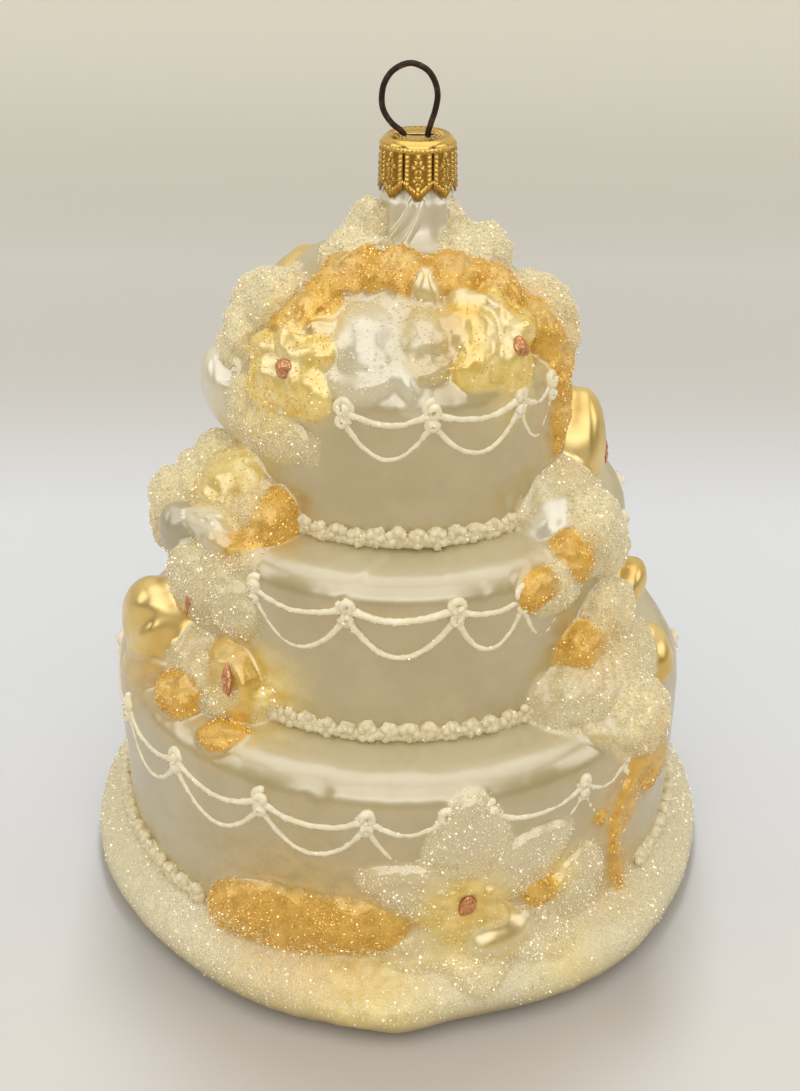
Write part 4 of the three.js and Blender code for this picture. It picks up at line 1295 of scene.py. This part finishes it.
def sugared_piping(name, dull, pale):
    """Piping set with fine crystals, from a dull to a pale shade in soft patches: grainy, with bright and
    dull cells."""
    material, shader, start, place = new_finish(name)
    bright = start.glints(place, 0.2)
    colour = start.mottle(place, 1.2, 3.0).eased(0.3, 0.7).mix(dull, pale)
    grain = start.bump(0.2, 0.05, bright)
    link(shader, Base_Color=colour, Roughness=0.5 - 0.28 * bright, Normal=grain, Coat_Weight=0.3)
    return material


def sparkling_crystal(name, dull, bright, mirror, clear, painted_glint_share):
    """Loose crystals: each takes its shade and shine from its own glint, a share of them are mirrors, a share
    glow by emission as painted glints, and clear ones let light spread under their surface."""
    material, shader, start, _ = new_finish(name)
    glint = start.paint("glint")
    metal = 0.85 * glint.eased(0.98 - mirror, 1.0 - mirror)
    link(shader, Base_Color=glint.mix(dull, bright), Metallic=metal, Roughness=0.4 - 0.26 * glint)
    # A share of the crystals glow by emission: painted glints that shine whatever the light.
    painted_glint_colour = glint.eased(1 - painted_glint_share, 1 - 0.4 * painted_glint_share).mix((0.0, 0.0, 0.0), bright)
    link(shader, Emission_Color=painted_glint_colour, Emission_Strength=0.9)
    if clear:
        link(shader, Subsurface_Weight=0.6, Subsurface_Radius=(1.0, 1.0, 1.0), Subsurface_Scale=0.3 * MM)
    return material


def copper_glitter():
    """Packed copper-red glitter: cells of differing shade and shine."""
    material, shader, start, place = new_finish("copper_glitter")
    bright = start.glints(place, 0.3)
    metal = 0.3 + 0.6 * bright.eased(0.5, 0.8)
    link(shader, Base_Color=bright.mix((0.46, 0.17, 0.06), (0.82, 0.42, 0.21)), Metallic=metal)
    link(shader, Roughness=0.42 - 0.2 * bright, Normal=start.bump(0.6, 0.15, bright))
    return material


def stamped_gold():
    """Bright gold sheet: its stamped bosses lighter, a painted highlight, on a darker ground, painted shade
    between them, that tarnishes in patches.
    """
    material, shader, start, place = new_finish("stamped_gold")
    tarnish = start.mottle(place, 1.6, 3.0).eased(0.4, 0.75)
    scuff = start.bump(0.12, 0.05, start.mottle(place, 0.25, 2.0))
    raised = start.paint("raised")
    # Stamped bosses light and the ground dark: painted highlight on the bosses and painted shade between
    # them.
    colour = raised.mix(tarnish.mix((0.50, 0.28, 0.045), (0.36, 0.18, 0.03)), (0.86, 0.60, 0.18))
    dull = 0.26 + 0.12 * tarnish - 0.1 * raised
    link(shader, Base_Color=colour, Metallic=1.0, Roughness=dull, Normal=scuff)
    return material


def brown_wire():
    """Dark brown oxidised wire with fine drawn streaks and lighter rubbed spots."""
    material, shader, start, place = new_finish("brown_wire")
    rubbed = start.mottle(place, 1.1, 4.0).eased(0.5, 0.8)
    streak = start.mottle(place, 0.2, 2.0)
    colour = rubbed.mix((0.035, 0.022, 0.016), (0.13, 0.08, 0.045))
    grain = start.bump(0.15, 0.04, streak)
    link(shader, Base_Color=colour, Metallic=0.75, Roughness=0.36 + 0.14 * streak, Normal=grain)
    return material


def pale_paper():
    """Plain pale ground with a faint mottle, cool on the floor, warmer towards the front and on the wall,
    whose colour darkens towards its foot as painted shade where it meets the floor, and toned down as far as
    it faces the floor lamp. It shows from its upper side alone, so the ornament can be seen from behind the
    wall."""
    material, shader, start, place = new_finish("pale_paper")
    back = start.node("ShaderNodeSeparateXYZ", None, {0: place}, 1)
    up = start.node("ShaderNodeSeparateXYZ", None, {0: place}, 2)
    cool = start.mottle(place, 60.0, 2.0).mix((0.70, 0.733, 0.79), (0.72, 0.753, 0.81))
    floor = back.eased(-160 * MM, 40 * MM).mix((0.72, 0.665, 0.575), cool)
    # The wall's colour darkens towards its foot: painted shade where the wall meets the floor.
    wall = up.eased(10 * MM, 110 * MM).mix((0.535, 0.515, 0.468), (0.79, 0.76, 0.65))
    colour = back.eased(105 * MM, 170 * MM).mix(floor, wall)
    normal = start.node("ShaderNodeNewGeometry", out="Normal")
    ways = {0: normal, 1: FLOOR_LAMP_WAY}
    facing = start.node("ShaderNodeVectorMath", {"operation": "DOT_PRODUCT"}, ways, "Value")
    lit = start.math("POWER", start.math("MAXIMUM", facing, 0.0), FLOOR_LAMP_FADE)
    link(shader, Base_Color=lit.mix(colour, FLOOR_TONE, "MULTIPLY"), Roughness=0.7)
    behind = start.node("ShaderNodeNewGeometry", out="Backfacing")
    paper, unseen = Shade(start.tree, shader.outputs[0]), start.node("ShaderNodeBsdfTransparent")
    shown = start.node("ShaderNodeMixShader", None, {0: behind, 1: paper, 2: unseen})
    start.tree.links.new(shown.output, start.tree.nodes["Material Output"].inputs["Surface"])
    return material


# Stage

def add_ground(finish):
    """Floor that sweeps up behind: a straight run, a quarter round and a wall, carried sideways."""
    a = np.linspace(0, np.pi / 2, ARC_STEPS)
    curve = np.stack([GROUND_BACK + GROUND_BEND * (np.sin(a) - 1), GROUND_BEND * (1 - np.cos(a))], -1)
    profile = np.concatenate([[(GROUND_FRONT, 0)], curve, [(GROUND_BACK, WALL_HEIGHT)]])
    x = np.linspace(-GROUND_HALF_WIDTH, GROUND_HALF_WIDTH, GROUND_COLUMNS)
    points = np.stack(np.broadcast_arrays(x[None], profile[:, :1], profile[:, 1:]), -1).reshape(-1, 3)
    mesh = bpy.data.meshes.new("ground")
    mesh.from_pydata(points * MM, [], grid_faces(len(profile), len(x), closed=False).tolist())
    mesh.polygons.foreach_set("use_smooth", np.ones(len(mesh.polygons), bool))
    mesh.materials.append(finish)
    ground = bpy.data.objects.new("ground", mesh)
    bpy.context.scene.collection.objects.link(ground)
    return ground


def add_light(name, place, aim, size, watts, colour=LAMP_COLOUR):
    """A soft rectangular lamp at a place, facing an aim point, in millimetres and watts."""
    lamp = bpy.data.lights.new(name, "AREA")
    lamp.shape = "RECTANGLE"
    lamp.size, lamp.size_y = size[0] * MM, size[1] * MM
    lamp.energy = watts
    lamp.color = colour
    holder = bpy.data.objects.new(name, lamp)
    back = unit(np.subtract(place, aim))
    right = unit(np.cross([0, 1.0, 0] if abs(back[2]) > 0.9 else UP, back))
    turn = Matrix(np.stack([right, np.cross(back, right), back], -1).tolist()).to_4x4()
    holder.matrix_world = Matrix.Translation(np.multiply(place, MM).tolist()) @ turn
    bpy.context.scene.collection.objects.link(holder)
    return holder


def add_camera():
    """Camera at the fitted place: pitched down, with a slight roll, its long side holding the sensor."""
    camera = bpy.data.cameras.new("camera")
    camera.sensor_width = SENSOR
    camera.lens = SENSOR * FOCAL_PIXELS / IMAGE_HEIGHT
    camera.clip_start, camera.clip_end = 0.01, 10
    holder = bpy.data.objects.new("camera", camera)
    pitch = Matrix.Rotation(math.radians(90 - CAMERA_PITCH), 4, "X")
    roll = Matrix.Rotation(math.radians(CAMERA_ROLL), 4, "Z")
    holder.matrix_world = Matrix.Translation([c * MM for c in CAMERA_PLACE]) @ pitch @ roll
    bpy.context.scene.collection.objects.link(holder)
    bpy.context.scene.camera = holder


def light_stage():
    """Soft room light and broad lamps: overhead, in front, low in front and at both sides."""
    world = bpy.data.worlds.new("room")
    world.use_nodes = True
    room = world.node_tree.nodes["Background"]
    room.inputs["Color"].default_value = ROOM_COLOUR
    room.inputs["Strength"].default_value = ROOM_STRENGTH
    bpy.context.scene.world = world
    bpy.context.scene.view_settings.view_transform = "Standard"
    for lamp in LAMPS:
        add_light(*lamp)


def light_floor(ground):
    """A lamp from above and behind that lights the floor alone, past the wall, so that the ornament's shadow
    falls softly to the front."""
    size, watts, colour = FLOOR_LAMP_SIZE, FLOOR_LAMP_WATTS, FLOOR_LAMP_COLOUR
    lamp = add_light("floor_lamp", FLOOR_LAMP_PLACE, (0, 0, 0), size, watts, colour)
    lit = bpy.data.collections.new("lit_by_floor_lamp")
    lit.objects.link(ground)
    lamp.light_linking.receiver_collection = lit
    passed = bpy.data.collections.new("passed_by_floor_lamp")
    passed.objects.link(ground)
    passed.collection_objects[0].light_linking.link_state = "EXCLUDE"
    lamp.light_linking.blocker_collection = passed


add_camera()
light_stage()
light_floor(add_ground(pale_paper()))
skin = glass_skin()
add_glass_body(skin, lacquered_glass())
ropes = add_swags(skin, sugared_piping("white_piping", (0.84, 0.74, 0.49), (0.93, 0.86, 0.65)))
beads = add_borders(sugared_piping("cream_piping", (0.70, 0.59, 0.35), (0.85, 0.75, 0.51)))
add_glitter(skin, ropes, beads)
add_copper_centres(skin, copper_glitter())
add_cap(stamped_gold())
add_hanger(brown_wire())
